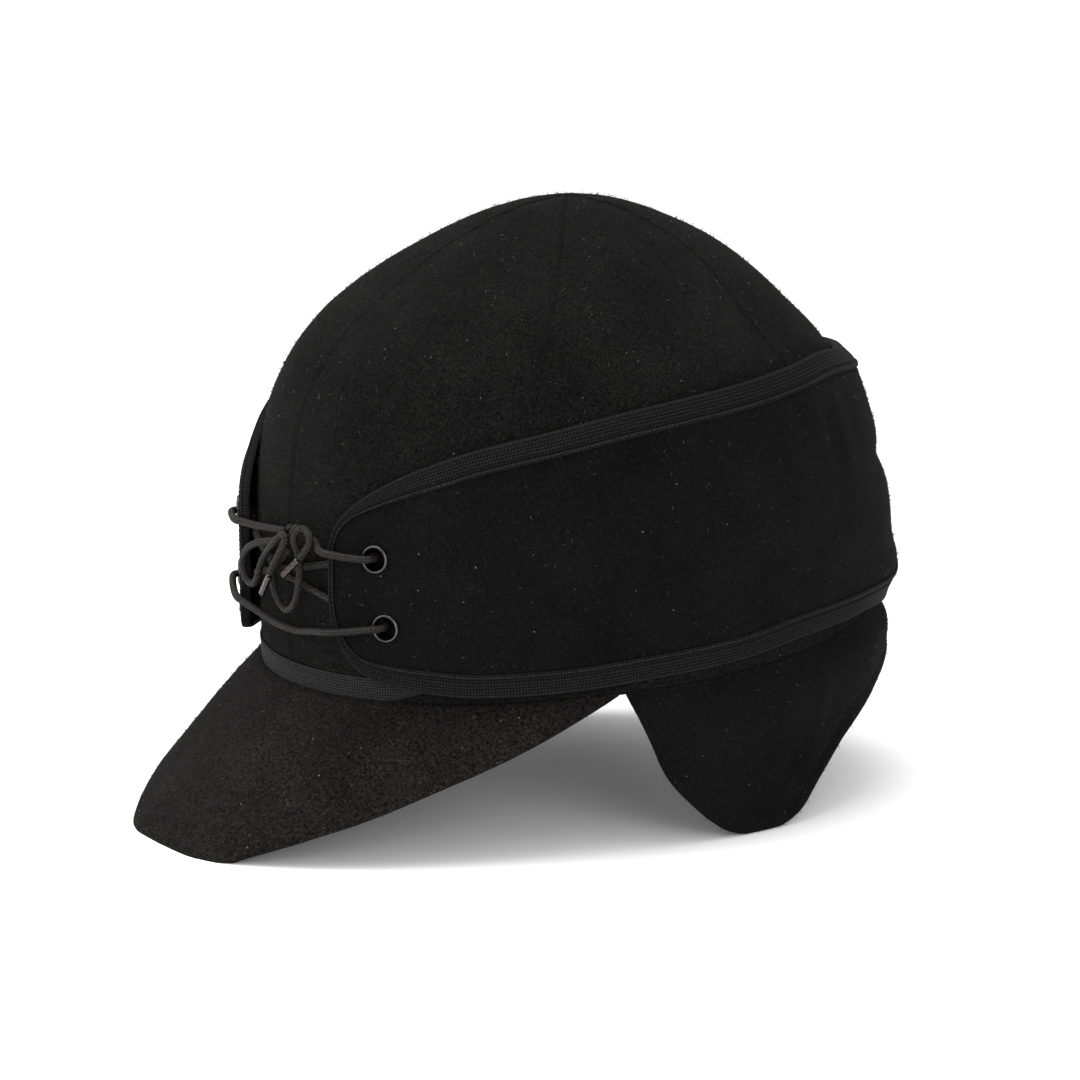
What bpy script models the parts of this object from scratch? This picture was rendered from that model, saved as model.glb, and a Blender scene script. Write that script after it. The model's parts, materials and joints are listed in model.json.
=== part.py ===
"""A railroad engineer's cap in black melton wool, with a laced ear band and its ear flap pulled down.

The cap stands on the front edge of its bill and the tips of its flap. Lengths are metres, the front looks
along -Y, the wearer's left is +X and up is +Z. A place on the cap is given as an angle round the head
(0 at the front, 90 at the wearer's left, 180 at the back), a height above the floor, and an offset outwards
from the crown's own surface.
"""

import math

import bmesh
import bpy
import numpy as np

MM = 0.001
DEGREE = math.pi / 180.0

# Crown: a round dome of six panels, sewn to the bill and the flap along the rim.
CROWN_HALF_WIDTH = 85.0 * MM
CROWN_HALF_LENGTH = 100.0 * MM
CROWN_HEIGHT = 133.0 * MM
CROWN_WALL = 2.6 * MM
PANELS = 6
PANEL_VALLEY = 1.2 * MM
SEAM_GROOVE = 0.9 * MM

# Rim: the seam sits lower at the front than at the back, and its edge is drawn in behind the ears.
RIM_HEIGHT = 51.0 * MM
RIM_TILT = 7.0 * MM
RIM_DRAW = 3.2 * MM
RIM_DRAW_HEIGHT = 9.0 * MM

# Bill: steep, and longest at the middle.
BILL_REACH = 46.0 * MM
BILL_HALF_ANGLE = 70.2 * DEGREE
BILL_WALL = 3.0 * MM
BILL_CROWNING = 1.6 * MM
BILL_END_DEPTH = 1.2 * MM

# Ear flap: one piece from ear to ear round the back.
FLAP_WALL = 2.6 * MM
FLAP_BULGE = 1.4 * MM
FLAP_LEAN = 2.4 * MM

# Ear band: wraps round the outside, open at the front.
BAND_HEIGHT = 84.0 * MM
BAND_WALL = 2.0 * MM
BAND_STANDOFF = 0.6 * MM
FRONT_LIFT_TOP = 114.0 * MM
FRONT_LIFT_FADE = 20.0 * MM
BACK_STANDOFF = 1.3 * MM
BACK_TOP_LIFT = 1.5 * MM
FOLD_DEPTH = 1.5 * MM
FOLD_HEIGHT = 101.0 * MM
FOLD_SPREAD = 5.0 * MM
ROLL_DEPTH = 1.8 * MM
ROLL_HEIGHT = 69.0 * MM
ROLL_SPREAD = 5.0 * MM

# Tapes: folded braid on the band's edges and over the bill's seam.
TAPE_THICKNESS = 0.6 * MM
BAND_TAPE_WIDTH = 6.4 * MM
BAND_TAPE_END_WIDTH = 1.5 * MM
BAND_TAPE_GROWS = (0.10, 0.27)
RIM_TAPE_WIDTH = 6.5 * MM
RIM_TAPE_HALF_ANGLE = 44.0 * DEGREE

# Eyelets: rolled metal, two at each front end of the band.
EYELET_BORE_RADIUS = 3.3 * MM
EYELET_BARREL = 0.3 * MM
EYELET_RADIUS = 4.3 * MM
EYELET_ROLL = 0.9 * MM
EYELET_CLENCH = 0.3 * MM
EYELET_UPPER_ANGLE = 27.5 * DEGREE
EYELET_UPPER_HEIGHT = 88.6 * MM
EYELET_LOWER_ANGLE = 29.2 * DEGREE
EYELET_LOWER_HEIGHT = 68.4 * MM
EYELET_SIDES = 12

# Lace: one round braided cord, with a bow at the front and a metal tip on each end.
LACE_DIAMETER = 2.2 * MM
CROSSING_LIFT = 2.7 * MM
CROSSING_SPREAD = 3.7 * DEGREE
CROSSING_HEIGHT = 78.8 * MM
CROSSING_RISE = 6.0 * MM
KNOT_HALF_WIDTH = 3.4 * MM
KNOT_HALF_HEIGHT = 3.2 * MM
KNOT_HALF_DEPTH = 2.3 * MM
KNOT_ANGLE = 6.0 * DEGREE
KNOT_HEIGHT = 91.0 * MM
KNOT_OFFSET = 3.2 * MM
AGLET_LENGTH = 8.0 * MM
AGLET_HALF_WIDTH = 1.6 * MM
AGLET_HALF_THICKNESS = 0.8 * MM

# Clearance between pieces that touch on the real cap.
CLEARANCE = 0.3 * MM

# Crown profile: share of the crown's height, share of its plan, move backwards as a share of its half length.
CROWN_PROFILE = (
    (0.00, 1.000, 0.026),
    (0.25, 0.990, 0.010),
    (0.40, 0.965, -0.008),
    (0.53, 0.922, -0.024),
    (0.644, 0.848, -0.029),
    (0.727, 0.755, -0.030),
    (0.795, 0.656, -0.022),
    (0.856, 0.545, -0.010),
    (0.90, 0.445, -0.002),
    (0.94, 0.331, 0.000),
    (0.98, 0.175, 0.000),
    (1.00, 0.000, 0.000),
)

# Bill's free edge: share of the half edge from the middle, share of the rim's half width, share of the reach,
# share of the rim's height.
BILL_EDGE = (
    (0.00, 0.000, 1.000, 0.000),
    (0.12, 0.175, 0.995, 0.000),
    (0.22, 0.320, 0.965, 0.000),
    (0.30, 0.435, 0.905, 0.075),
    (0.42, 0.590, 0.790, 0.200),
    (0.54, 0.725, 0.650, 0.335),
    (0.66, 0.835, 0.485, 0.500),
    (0.78, 0.920, 0.310, 0.665),
    (0.90, 0.980, 0.130, 0.860),
    (1.00, 1.000, 0.000, 1.000),
)

# Ear flap's lower edge: share of the way from front end to back, angle at the rim, angle at the lower edge,
# height of the lower edge as a share of the rim's height.
FLAP_EDGE = (
    (0.00, 71.4, 72.6, 0.910),
    (0.04, 74.0, 76.0, 0.660),
    (0.09, 78.0, 79.5, 0.420),
    (0.14, 83.0, 84.5, 0.230),
    (0.19, 88.0, 89.0, 0.100),
    (0.235, 92.5, 93.0, 0.025),
    (0.27, 96.5, 96.5, 0.000),
    (0.33, 103.5, 103.5, 0.000),
    (0.37, 108.0, 108.5, 0.050),
    (0.42, 113.5, 114.0, 0.215),
    (0.48, 121.0, 121.5, 0.400),
    (0.57, 131.0, 131.5, 0.520),
    (0.69, 145.0, 145.0, 0.630),
    (0.83, 161.0, 161.0, 0.680),
    (1.00, 180.0, 180.0, 0.700),
)

# Ear band's outline: share of the way from front end to back, angle and height of the upper edge, angle and
# height of the lower edge, with the heights as shares of the band's height above the rim.
BAND_OUTLINE = (
    (0.000, 17.5, 0.545, 17.3, 0.360),
    (0.030, 18.8, 0.610, 17.8, 0.290),
    (0.065, 21.2, 0.670, 19.6, 0.205),
    (0.105, 25.0, 0.725, 23.0, 0.130),
    (0.145, 31.0, 0.785, 28.5, 0.088),
    (0.185, 38.0, 0.835, 36.0, 0.062),
    (0.242, 48.0, 0.886, 46.5, 0.046),
    (0.322, 62.0, 0.928, 61.0, 0.046),
    (0.410, 77.0, 0.960, 76.5, 0.053),
    (0.496, 92.0, 0.970, 92.0, 0.059),
    (0.588, 108.0, 0.971, 108.0, 0.080),
    (0.690, 126.0, 0.968, 126.0, 0.074),
    (0.828, 150.0, 0.912, 150.0, 0.016),
    (1.000, 180.0, 0.850, 180.0, 0.000),
)

# Lace: angle in degrees, height and offset in millimetres. It leaves the knot on both sides and goes over the
# band's front edges. Each run goes through an upper eyelet, behind the band's ends to the lower eyelet on the
# other side, and along the outside to the front, where the two runs, each the other's mirror image, meet.
# The lace's two ends have their heights from the knot's middle.
LACE_NEAR_START = ((9.0, 0.4, 3.2), (12.5, -0.5, 3.5), (14.6, -1.5, 5.7))
LACE_RUN = (
    (16.7, 88.9, 7.6), (20.5, 88.6, 7.9), (24.2, 88.6, 8.0), (26.7, 88.6, 8.0), (28.1, 88.6, 7.0),
    (28.7, 88.6, 4.7), (28.1, 88.6, 2.4), (26.7, 88.4, 1.4), (23.0, 87.0, 1.35), (10.0, 82.3, 1.35),
    (4.5, 80.35, 1.35), (0.0, 78.75, 1.35), (-4.5, 77.15, 1.35), (-10.0, 75.2, 1.35), (-25.0, 69.8, 1.35),
    (-28.4, 68.5, 1.4), (-29.8, 68.4, 2.4), (-30.4, 68.4, 4.7), (-29.8, 68.4, 7.0), (-28.4, 68.2, 8.0),
    (-25.8, 67.5, 8.0), (-21.0, 66.2, 7.9), (-17.0, 65.1, 7.6), (-14.4, 64.4, 6.2), (-9.5, 62.7, 3.3),
    (-4.5, 61.4, 1.9),
)
LACE_FAR_END = (
    (-14.6, -2.0, 5.8), (-10.0, -1.8, 3.4), (-5.0, -1.0, 2.4), (0.0, -0.1, 2.6), (3.0, 0.3, 3.0),
)

# Bow, in the same three columns, with heights from the knot's middle: each cord leaves the knot, makes its
# loop, passes over the knot and ends in a metal tip.
NEAR_BOW_ROUTE = (
    (5.4, -4.3, 3.4), (4.4, -6.1, 4.6), (2.8, -8.8, 5.8), (1.4, -11.8, 6.3), (0.3, -15.0, 5.4),
    (-0.6, -18.4, 4.1), (-0.2, -21.6, 3.2), (1.8, -23.6, 2.8), (4.4, -22.6, 3.0), (6.6, -19.2, 3.6),
    (7.9, -15.6, 4.3), (8.5, -11.8, 4.4), (8.8, -7.8, 4.7), (9.2, -4.2, 5.8), (9.0, -1.0, 6.9),
    (9.4, 1.9, 6.7), (11.0, 3.2, 6.0), (12.8, 1.6, 6.2), (12.9, -1.0, 6.8), (11.9, -3.6, 7.4),
    (10.8, -5.4, 7.8),
)
FAR_BOW_ROUTE = (
    (3.2, -2.6, 3.4), (0.5, -3.1, 4.4), (-3.0, -4.3, 5.2), (-7.0, -6.1, 5.9), (-10.8, -9.0, 6.4),
    (-13.2, -12.6, 6.6), (-13.8, -16.2, 6.4), (-12.2, -19.0, 5.8), (-9.6, -19.2, 5.2), (-7.6, -17.0, 5.0),
    (-6.2, -14.0, 5.0), (-4.8, -11.0, 5.0), (-3.0, -8.2, 5.0), (-0.9, -5.8, 5.4), (1.5, -3.6, 6.2),
    (3.8, -1.4, 6.9), (5.6, 0.4, 7.1), (6.9, -0.4, 7.5), (6.6, -2.8, 8.0), (5.4, -6.0, 8.5),
    (4.0, -9.2, 8.7), (2.6, -12.4, 8.7),
)

# Mesh fineness.
CROWN_COLUMNS = 54
CROWN_RINGS = 11
BAND_COLUMNS = 30
BAND_ROWS = 3
FLAP_ROWS = 5
BILL_COLUMNS = 28
BILL_ROWS = 5
RIM_TAPE_COLUMNS = 22
FRONT_EDGE_STEPS = 3
CORD_LONGEST_STEP = 6.5 * MM
CORD_TURN_PER_STEP = 35 * DEGREE

# Plain colours: base colour, roughness, metallic.
WOOL_COLOUR = ((0.011, 0.010, 0.010, 1.0), 0.95, 0.0)
TAPE_COLOUR = ((0.018, 0.017, 0.017, 1.0), 0.75, 0.0)
LACE_COLOUR = ((0.035, 0.028, 0.020, 1.0), 0.55, 0.0)
EYELET_COLOUR = ((0.10, 0.10, 0.11, 1.0), 0.35, 1.0)
AGLET_COLOUR = ((0.55, 0.55, 0.57, 1.0), 0.30, 1.0)


def smooth_table(rows, where):
    """Values of a table's later columns at places along its first, on a curve that never overshoots."""
    rows = np.array(rows, float)
    places = rows[:, 0]
    values = rows[:, 1:]
    where = np.clip(np.asarray(where, float), places[0], places[-1])
    steps = np.diff(places)[:, None]
    slopes = np.diff(values, axis=0) / steps
    total = slopes[:-1] + slopes[1:]
    same_way = slopes[:-1] * slopes[1:] > 0
    tangents = np.empty_like(values)
    tangents[0] = slopes[0]
    tangents[-1] = slopes[-1]
    tangents[1:-1] = np.where(same_way, 2 * slopes[:-1] * slopes[1:] / np.where(same_way, total, 1.0), 0.0)
    row = np.clip(np.searchsorted(places, where, side="right") - 1, 0, len(places) - 2)
    step = steps[row]
    t = ((where - places[row])[..., None]) / step
    return (
        (2 * t**3 - 3 * t**2 + 1) * values[row]
        + (t**3 - 2 * t**2 + t) * step * tangents[row]
        + (3 * t**2 - 2 * t**3) * values[row + 1]
        + (t**3 - t**2) * step * tangents[row + 1]
    )


def smooth_step(value, start, end):
    """0 before start, 1 after end and a smooth rise between."""
    t = np.clip((value - start) / (end - start), 0.0, 1.0)
    return t * t * (3 - 2 * t)


def hump(value, centre, spread):
    """A smooth bump of height 1 at centre."""
    return np.exp(-(((value - centre) / spread) ** 2))


def turned_from_front(angle):
    """Angle from the front centre, the same on both sides, between 0 and half a turn."""
    return np.abs((np.asarray(angle, float) + math.pi) % (2 * math.pi) - math.pi)


def rim_height(angle):
    """Height of the rim seam, lower at the front."""
    return RIM_HEIGHT - RIM_TILT * np.cos(angle)


def rim_draw(angle, height):
    """How far the rim is drawn in, most behind the ears."""
    behind = 0.3 + 0.7 * smooth_step(turned_from_front(angle), 80 * DEGREE, 140 * DEGREE)
    above = np.maximum(height - rim_height(angle), 0.0)
    return RIM_DRAW * behind * hump(above, 0.0, RIM_DRAW_HEIGHT)


def crown_point(angle, height):
    """A point of the crown's smooth outer surface, before panels and seams."""
    share = np.clip((height - RIM_HEIGHT) / CROWN_HEIGHT, 0.0, 1.0)
    profile = smooth_table(CROWN_PROFILE, share)
    draw = 1.0 - rim_draw(angle, height) / CROWN_HALF_LENGTH
    x = CROWN_HALF_WIDTH * profile[..., 0] * draw * np.sin(angle)
    y = CROWN_HALF_LENGTH * (profile[..., 1] - profile[..., 0] * draw * np.cos(angle))
    return np.stack([x, y, np.broadcast_to(height, x.shape)], axis=-1)


def skin_point(angle, height, offset):
    """A point outside (or, with a negative offset, inside) the crown's surface, along its normal."""
    angle, height, offset = np.broadcast_arrays(
        np.asarray(angle, float), np.asarray(height, float), np.asarray(offset, float)
    )
    turn = 0.01
    climb = 0.5 * MM
    top = RIM_HEIGHT + CROWN_HEIGHT
    lower = np.minimum(height, top - 1.5 * MM) - climb
    sideways = crown_point(angle + turn, height) - crown_point(angle - turn, height)
    upwards = crown_point(angle, lower + 2 * climb) - crown_point(angle, lower)
    normal = np.cross(sideways, upwards)
    length = np.linalg.norm(normal, axis=-1, keepdims=True)
    normal = normal / np.where(length > 0, length, 1.0)
    return crown_point(angle, height) + normal * offset[..., None]


def band_standoff(angle, height):
    """Clear space between the crown and the ear band's inner face."""
    turned = turned_from_front(angle)
    lace_room = LACE_DIAMETER + EYELET_CLENCH + 3 * CLEARANCE
    front = (lace_room - BAND_STANDOFF) * (1 - smooth_step(turned, 46 * DEGREE, 78 * DEGREE))
    front = front * (1 - smooth_step(height, FRONT_LIFT_TOP - FRONT_LIFT_FADE, FRONT_LIFT_TOP))
    back = smooth_step(turned, 95 * DEGREE, 150 * DEGREE)
    share = np.clip((height - RIM_HEIGHT) / BAND_HEIGHT, 0.0, 1.0)
    lift = BACK_STANDOFF + BACK_TOP_LIFT * share**2
    fold = FOLD_DEPTH * hump(height, FOLD_HEIGHT, FOLD_SPREAD)
    roll = ROLL_DEPTH * hump(height, ROLL_HEIGHT, ROLL_SPREAD)
    return BAND_STANDOFF + front + back * (lift - fold + roll)


def band_point(angle, height, depth):
    """A point of the ear band, from its inner face (depth 0) outwards."""
    return skin_point(angle, height, band_standoff(angle, height) + depth)


def make_material(name, look):
    """A plain material of one colour."""
    colour, roughness, metallic = look
    material = bpy.data.materials.new(name)
    material.use_nodes = True
    shader = material.node_tree.nodes["Principled BSDF"]
    shader.inputs["Base Color"].default_value = colour
    shader.inputs["Roughness"].default_value = roughness
    shader.inputs["Metallic"].default_value = metallic
    return material


def make_object(name, points, faces, material, parent):
    """A smooth-shaded mesh object with its faces turned outwards."""
    mesh = bpy.data.meshes.new(name)
    shape = bmesh.new()
    corners = [shape.verts.new(point) for point in points]
    for face in faces:
        shape.faces.new([corners[index] for index in face])
    bmesh.ops.recalc_face_normals(shape, faces=shape.faces)
    shape.to_mesh(mesh)
    shape.free()
    mesh.materials.append(material)
    mesh.shade_smooth()
    mesh.set_sharp_from_angle(angle=40 * DEGREE)
    thing = bpy.data.objects.new(name, mesh)
    bpy.context.scene.collection.objects.link(thing)
    thing.parent = parent
    return thing


def wall_mesh(outer, inner, wraps):
    """Points and faces of a wall between two grids of points; wraps joins the last column to the first."""
    rows, columns = outer.shape[:2]
    points = np.concatenate([outer.reshape(-1, 3), inner.reshape(-1, 3)])
    second = rows * columns
    spans = columns if wraps else columns - 1
    faces = []
    for row in range(rows - 1):
        for column in range(spans):
            right = (column + 1) % columns
            quad = [row * columns + column, row * columns + right]
            quad += [(row + 1) * columns + right, (row + 1) * columns + column]
            faces.append(quad)
            faces.append([second + index for index in reversed(quad)])
    for column in range(spans):
        right = (column + 1) % columns
        for row, ends in ((0, (right, column)), (rows - 1, (column, right))):
            start, end = (row * columns + index for index in ends)
            faces.append([start, end, second + end, second + start])
    if not wraps:
        for row in range(rows - 1):
            for column, way in ((0, (0, 1)), (columns - 1, (1, 0))):
                start, end = ((row + step) * columns + column for step in way)
                faces.append([start, end, second + end, second + start])
    return points, faces


def dome_mesh(outer, inner, outer_top, inner_top):
    """Points and faces of a hollow dome, from rings of points and the two points at its top."""
    rows, columns = outer.shape[:2]
    points, faces = wall_mesh(outer, inner, wraps=True)
    faces = [face for face in faces if not is_top_joint(face, rows, columns)]
    points = np.concatenate([points, [outer_top, inner_top]])
    second = rows * columns
    top_ring = (rows - 1) * columns
    for column in range(columns):
        right = (column + 1) % columns
        faces.append([top_ring + column, top_ring + right, 2 * second])
        faces.append([second + top_ring + right, second + top_ring + column, 2 * second + 1])
    return points, faces


def is_top_joint(face, rows, columns):
    """True for a face that joins the outer wall's top ring to the inner wall's."""
    second = rows * columns
    top_ring = (rows - 1) * columns
    on_outer = [top_ring <= index < second for index in face]
    on_inner = [index >= second + top_ring for index in face]
    return sum(on_outer) == 2 and sum(on_inner) == 2


def sweep_mesh(sections, closed):
    """Points and faces through a row of loops; closed joins the last loop to the first."""
    count, sides = sections.shape[:2]
    points = sections.reshape(-1, 3)
    faces = []
    for station in range(count if closed else count - 1):
        following = (station + 1) % count
        for side in range(sides):
            beside = (side + 1) % sides
            faces.append(
                [
                    station * sides + side,
                    station * sides + beside,
                    following * sides + beside,
                    following * sides + side,
                ]
            )
    if not closed:
        faces.append(list(range(sides)))
        faces.append([(count - 1) * sides + side for side in reversed(range(sides))])
    return points, faces


def make_crown(material, parent):
    """The hollow dome, with a groove at each seam."""
    angles = np.arange(CROWN_COLUMNS) * 2 * math.pi / CROWN_COLUMNS
    shares = 1 - (1 - np.arange(CROWN_RINGS) / CROWN_RINGS) ** 1.9
    foot = rim_height(angles) + CLEARANCE / 2
    top = RIM_HEIGHT + CROWN_HEIGHT
    heights = foot + shares[:, None] * (top - foot)
    at_seam = np.abs(np.cos(PANELS / 2 * angles))
    fade = np.sin(math.pi * np.clip(shares, 0.0, 1.0)) ** 0.5
    valley = PANEL_VALLEY * at_seam**6 * fade[:, None] + SEAM_GROOVE * at_seam**90
    outer = skin_point(angles, heights, -valley)
    inner = skin_point(angles, heights, -valley - CROWN_WALL)
    outer_top = np.array([0.0, 0.0, top])
    inner_top = np.array([0.0, 0.0, top - CROWN_WALL])
    points, faces = dome_mesh(outer, inner, outer_top, inner_top)
    return make_object("crown", points, faces, material, parent)


def bill_surface(across, down):
    """Upper surface of the bill: across from -1 to 1, down from the seam (0) to the free edge (1)."""
    angle = across * BILL_HALF_ANGLE
    height = rim_height(angle) - CLEARANCE / 2
    root = skin_point(angle, height, 0.0)
    edge = smooth_table(BILL_EDGE, np.abs(across))
    end_angle = BILL_HALF_ANGLE
    end = skin_point(end_angle, rim_height(end_angle), 0.0)
    front = skin_point(0.0, rim_height(0.0), 0.0)[1] - BILL_REACH
    tip = np.stack(
        [
            np.sign(across) * end[0] * edge[..., 0],
            end[1] + (front - end[1]) * edge[..., 1],
            (rim_height(end_angle) - BILL_END_DEPTH) * edge[..., 2],
        ],
        axis=-1,
    )
    share = down[..., None]
    length = np.linalg.norm(tip - root, axis=-1, keepdims=True)
    reach = length / np.max(length)
    outwards = np.stack([np.sin(angle), -np.cos(angle), np.full(across.shape, 0.8)], axis=-1)
    outwards /= np.linalg.norm(outwards, axis=-1, keepdims=True)
    return root + (tip - root) * share + outwards * BILL_CROWNING * reach * 4 * share * (1 - share)


def make_bill(material, parent):
    """The bill, with its front edge flat on the floor."""
    across = np.broadcast_to(np.linspace(-1, 1, BILL_COLUMNS + 1), (BILL_ROWS + 1, BILL_COLUMNS + 1))
    down = np.broadcast_to(np.linspace(0, 1, BILL_ROWS + 1)[:, None], across.shape)
    outer = bill_surface(across, down)
    nudge = 0.01
    sideways = bill_surface(np.minimum(across + nudge, 1), down) - bill_surface(np.maximum(across - nudge, -1), down)
    along = bill_surface(across, np.minimum(down + nudge, 1)) - bill_surface(across, np.maximum(down - nudge, 0))
    normal = np.cross(sideways, along)
    normal *= np.sign(np.sum(normal * outer * [1, 1, 0], axis=-1, keepdims=True))
    normal /= np.linalg.norm(normal, axis=-1, keepdims=True)
    inner = outer - normal * BILL_WALL
    level = normal[-1] * [1, 1, 0]
    inner[-1] = outer[-1] - level / np.linalg.norm(level, axis=-1, keepdims=True) * BILL_WALL
    inner[1:, :, 2] = np.maximum(inner[1:, :, 2], 0.0)
    points, faces = wall_mesh(outer, inner, wraps=False)
    return make_object("bill", points, faces, material, parent)


def both_sides(shares):
    """Shares from the left front end to the back and on to the right front end, and the side of each."""
    there = shares[:-1]
    back = shares[::-1]
    sides = np.concatenate([np.ones(len(there)), -np.ones(len(back))])
    return np.concatenate([there, back]), sides


def make_flap(material, parent):
    """The ear flap, from one ear round the back to the other, its two tips flat on the floor."""
    rows = np.array(FLAP_EDGE)[:, 0]
    shares, sides = both_sides(np.sort(np.concatenate([rows, (rows[1:] + rows[:-1]) / 2])))
    table = smooth_table(FLAP_EDGE, shares)
    rim_angles = table[:, 0] * DEGREE
    tip_angles = table[:, 1] * DEGREE
    top = rim_height(rim_angles) - CLEARANCE / 2
    bottom = table[:, 2] * (rim_height(rim_angles) - CLEARANCE)
    down = np.linspace(0, 1, FLAP_ROWS + 1)[:, None]
    angles = sides * (rim_angles + (tip_angles - rim_angles) * down)
    heights = top + (bottom - top) * down
    below = (top - heights) / RIM_HEIGHT
    swell = FLAP_BULGE * np.sin(math.pi * np.clip(2.2 * below, 0.0, 1.0))
    offset = rim_draw(angles, top) * smooth_step(below, 0.0, 0.15) + swell - FLAP_LEAN * below**2
    outer = skin_point(angles, heights, offset)
    inner = skin_point(angles, heights, offset - FLAP_WALL)
    points, faces = wall_mesh(outer, inner, wraps=False)
    return make_object("ear_flap", points, faces, material, parent)


def band_edge(upper):
    """The wool band's upper or lower edge from its front end to the back: places and the ways into the band,
    as angle and height, and the width of the tape that binds it."""
    shares = np.linspace(0, 1, BAND_COLUMNS + 1)
    table = smooth_table(BAND_OUTLINE, shares)
    upper_angle = table[:, 0] * DEGREE
    lower_angle = table[:, 2] * DEGREE
    upper_edge = np.stack([upper_angle, rim_height(upper_angle) + BAND_HEIGHT * table[:, 1]], axis=1)
    lower_edge = np.stack([lower_angle, rim_height(lower_angle) + BAND_HEIGHT * table[:, 3]], axis=1)
    if upper:
        edge, other, turn = upper_edge, lower_edge, 1.0
    else:
        edge, other, turn = lower_edge, upper_edge, -1.0
    front_middle = (edge[0] + other[0]) / 2
    steps = np.linspace(0.06, 1, FRONT_EDGE_STEPS, endpoint=False)[:, None]
    path = np.concatenate([front_middle + (edge[0] - front_middle) * steps, edge])
    radius = (CROWN_HALF_WIDTH + CROWN_HALF_LENGTH) / 2
    ahead = np.gradient(path * [radius, 1.0], axis=0)
    ahead /= np.linalg.norm(ahead, axis=1, keepdims=True)
    inwards = np.stack([turn * ahead[:, 1], -turn * ahead[:, 0]], axis=1) / [radius, 1.0]
    along = np.linspace(0, 1, len(path))
    rise = smooth_step(along, BAND_TAPE_GROWS[0], BAND_TAPE_GROWS[1])
    widths = BAND_TAPE_END_WIDTH + (BAND_TAPE_WIDTH - BAND_TAPE_END_WIDTH) * rise
    return path, inwards, widths[:, None]


def both_ways(rows):
    """Rows from the left front end to the back, and mirrored from there to the right front end."""
    return np.concatenate([rows, rows[-2::-1] * [-1.0, 1.0]])


def make_band(material, parent):
    """The wool band, with a hole for each eyelet."""
    upper_edge, upper_inwards, upper_width = (part[FRONT_EDGE_STEPS:] for part in band_edge(True))
    lower_edge, lower_inwards, lower_width = (part[FRONT_EDGE_STEPS:] for part in band_edge(False))
    upper_row = upper_edge + upper_inwards * upper_width
    lower_row = lower_edge + lower_inwards * lower_width
    rows = [both_ways(lower_edge)]
    for share in np.linspace(0, 1, BAND_ROWS + 1):
        rows.append(both_ways(lower_row + (upper_row - lower_row) * share))
    rows.append(both_ways(upper_edge))
    grid = np.stack(rows)
    outer = band_point(grid[..., 0], grid[..., 1], BAND_WALL)
    inner = band_point(grid[..., 0], grid[..., 1], 0.0)
    points, faces = wall_mesh(outer, inner, wraps=False)
    band = make_object("ear_band", points, faces, material, parent)
    cutter = make_eyelet_cutter(parent)
    cut = band.modifiers.new("eyelet holes", "BOOLEAN")
    cut.operation = "DIFFERENCE"
    cut.solver = "EXACT"
    cut.object = cutter
    return band


def make_band_tape(name, upper, material, parent):
    """Folded tape over one edge of the band: a wide leg outside and a lip across the wool's edge."""
    path, inwards, widths = band_edge(upper)
    face = BAND_WALL + CLEARANCE
    lip = -CLEARANCE - TAPE_THICKNESS
    profile = (
        (face, 1.0, 0.0),
        (face + TAPE_THICKNESS, 1.0, 0.0),
        (face + TAPE_THICKNESS, 0.0, 0.0),
        (BAND_WALL, 0.0, lip),
        (0.0, 0.0, lip),
        (0.0, 0.0, -CLEARANCE),
        (face, 0.0, -CLEARANCE),
    )
    loops = []
    for depth, width_share, inset in profile:
        places = both_ways(path + inwards * (widths * width_share + inset))
        loops.append(band_point(places[:, 0], places[:, 1], depth))
    points, faces = sweep_mesh(np.stack(loops, axis=1), closed=False)
    return make_object(name, points, faces, material, parent)


def make_rim_tape(material, parent):
    """Tape on the crown's foot, over the bill's seam."""
    angles = np.linspace(-RIM_TAPE_HALF_ANGLE, RIM_TAPE_HALF_ANGLE, RIM_TAPE_COLUMNS + 1)
    foot = rim_height(angles) + CLEARANCE
    inside = CLEARANCE
    outside = CLEARANCE + TAPE_THICKNESS
    profile = (
        (inside, 0.0),
        (outside, 0.0),
        (outside + 0.3 * TAPE_THICKNESS, 0.5 * RIM_TAPE_WIDTH),
        (outside, RIM_TAPE_WIDTH),
        (inside, RIM_TAPE_WIDTH),
    )
    loops = [skin_point(angles, foot + rise, depth) for depth, rise in profile]
    points, faces = sweep_mesh(np.stack(loops, axis=1), closed=False)
    return make_object("rim_tape", points, faces, material, parent)


def eyelet_frame(angle, height):
    """Middle of an eyelet on the band's outer face, its outward axis, and two directions in the face."""
    middle = band_point(angle, height, BAND_WALL)
    axis = middle - band_point(angle, height, 0.0)
    axis /= np.linalg.norm(axis)
    sideways = np.cross([0.0, 0.0, 1.0], axis)
    sideways /= np.linalg.norm(sideways)
    return middle, axis, sideways, np.cross(axis, sideways)


def turned_loops(frame, profile, sides):
    """Loops of points where a profile of radius and depth is turned about a frame's axis."""
    middle, axis, sideways, upwards = frame
    loops = []
    for turn in np.arange(sides) * 2 * math.pi / sides:
        spoke = math.cos(turn) * sideways + math.sin(turn) * upwards
        loops.append([middle + spoke * radius + axis * depth for radius, depth in profile])
    return np.array(loops)


def eyelet_places():
    """Name, angle and height of each eyelet."""
    for side, sign in (("left", 1.0), ("right", -1.0)):
        yield f"eyelet_{side}_upper", sign * EYELET_UPPER_ANGLE, EYELET_UPPER_HEIGHT
        yield f"eyelet_{side}_lower", sign * EYELET_LOWER_ANGLE, EYELET_LOWER_HEIGHT


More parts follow.
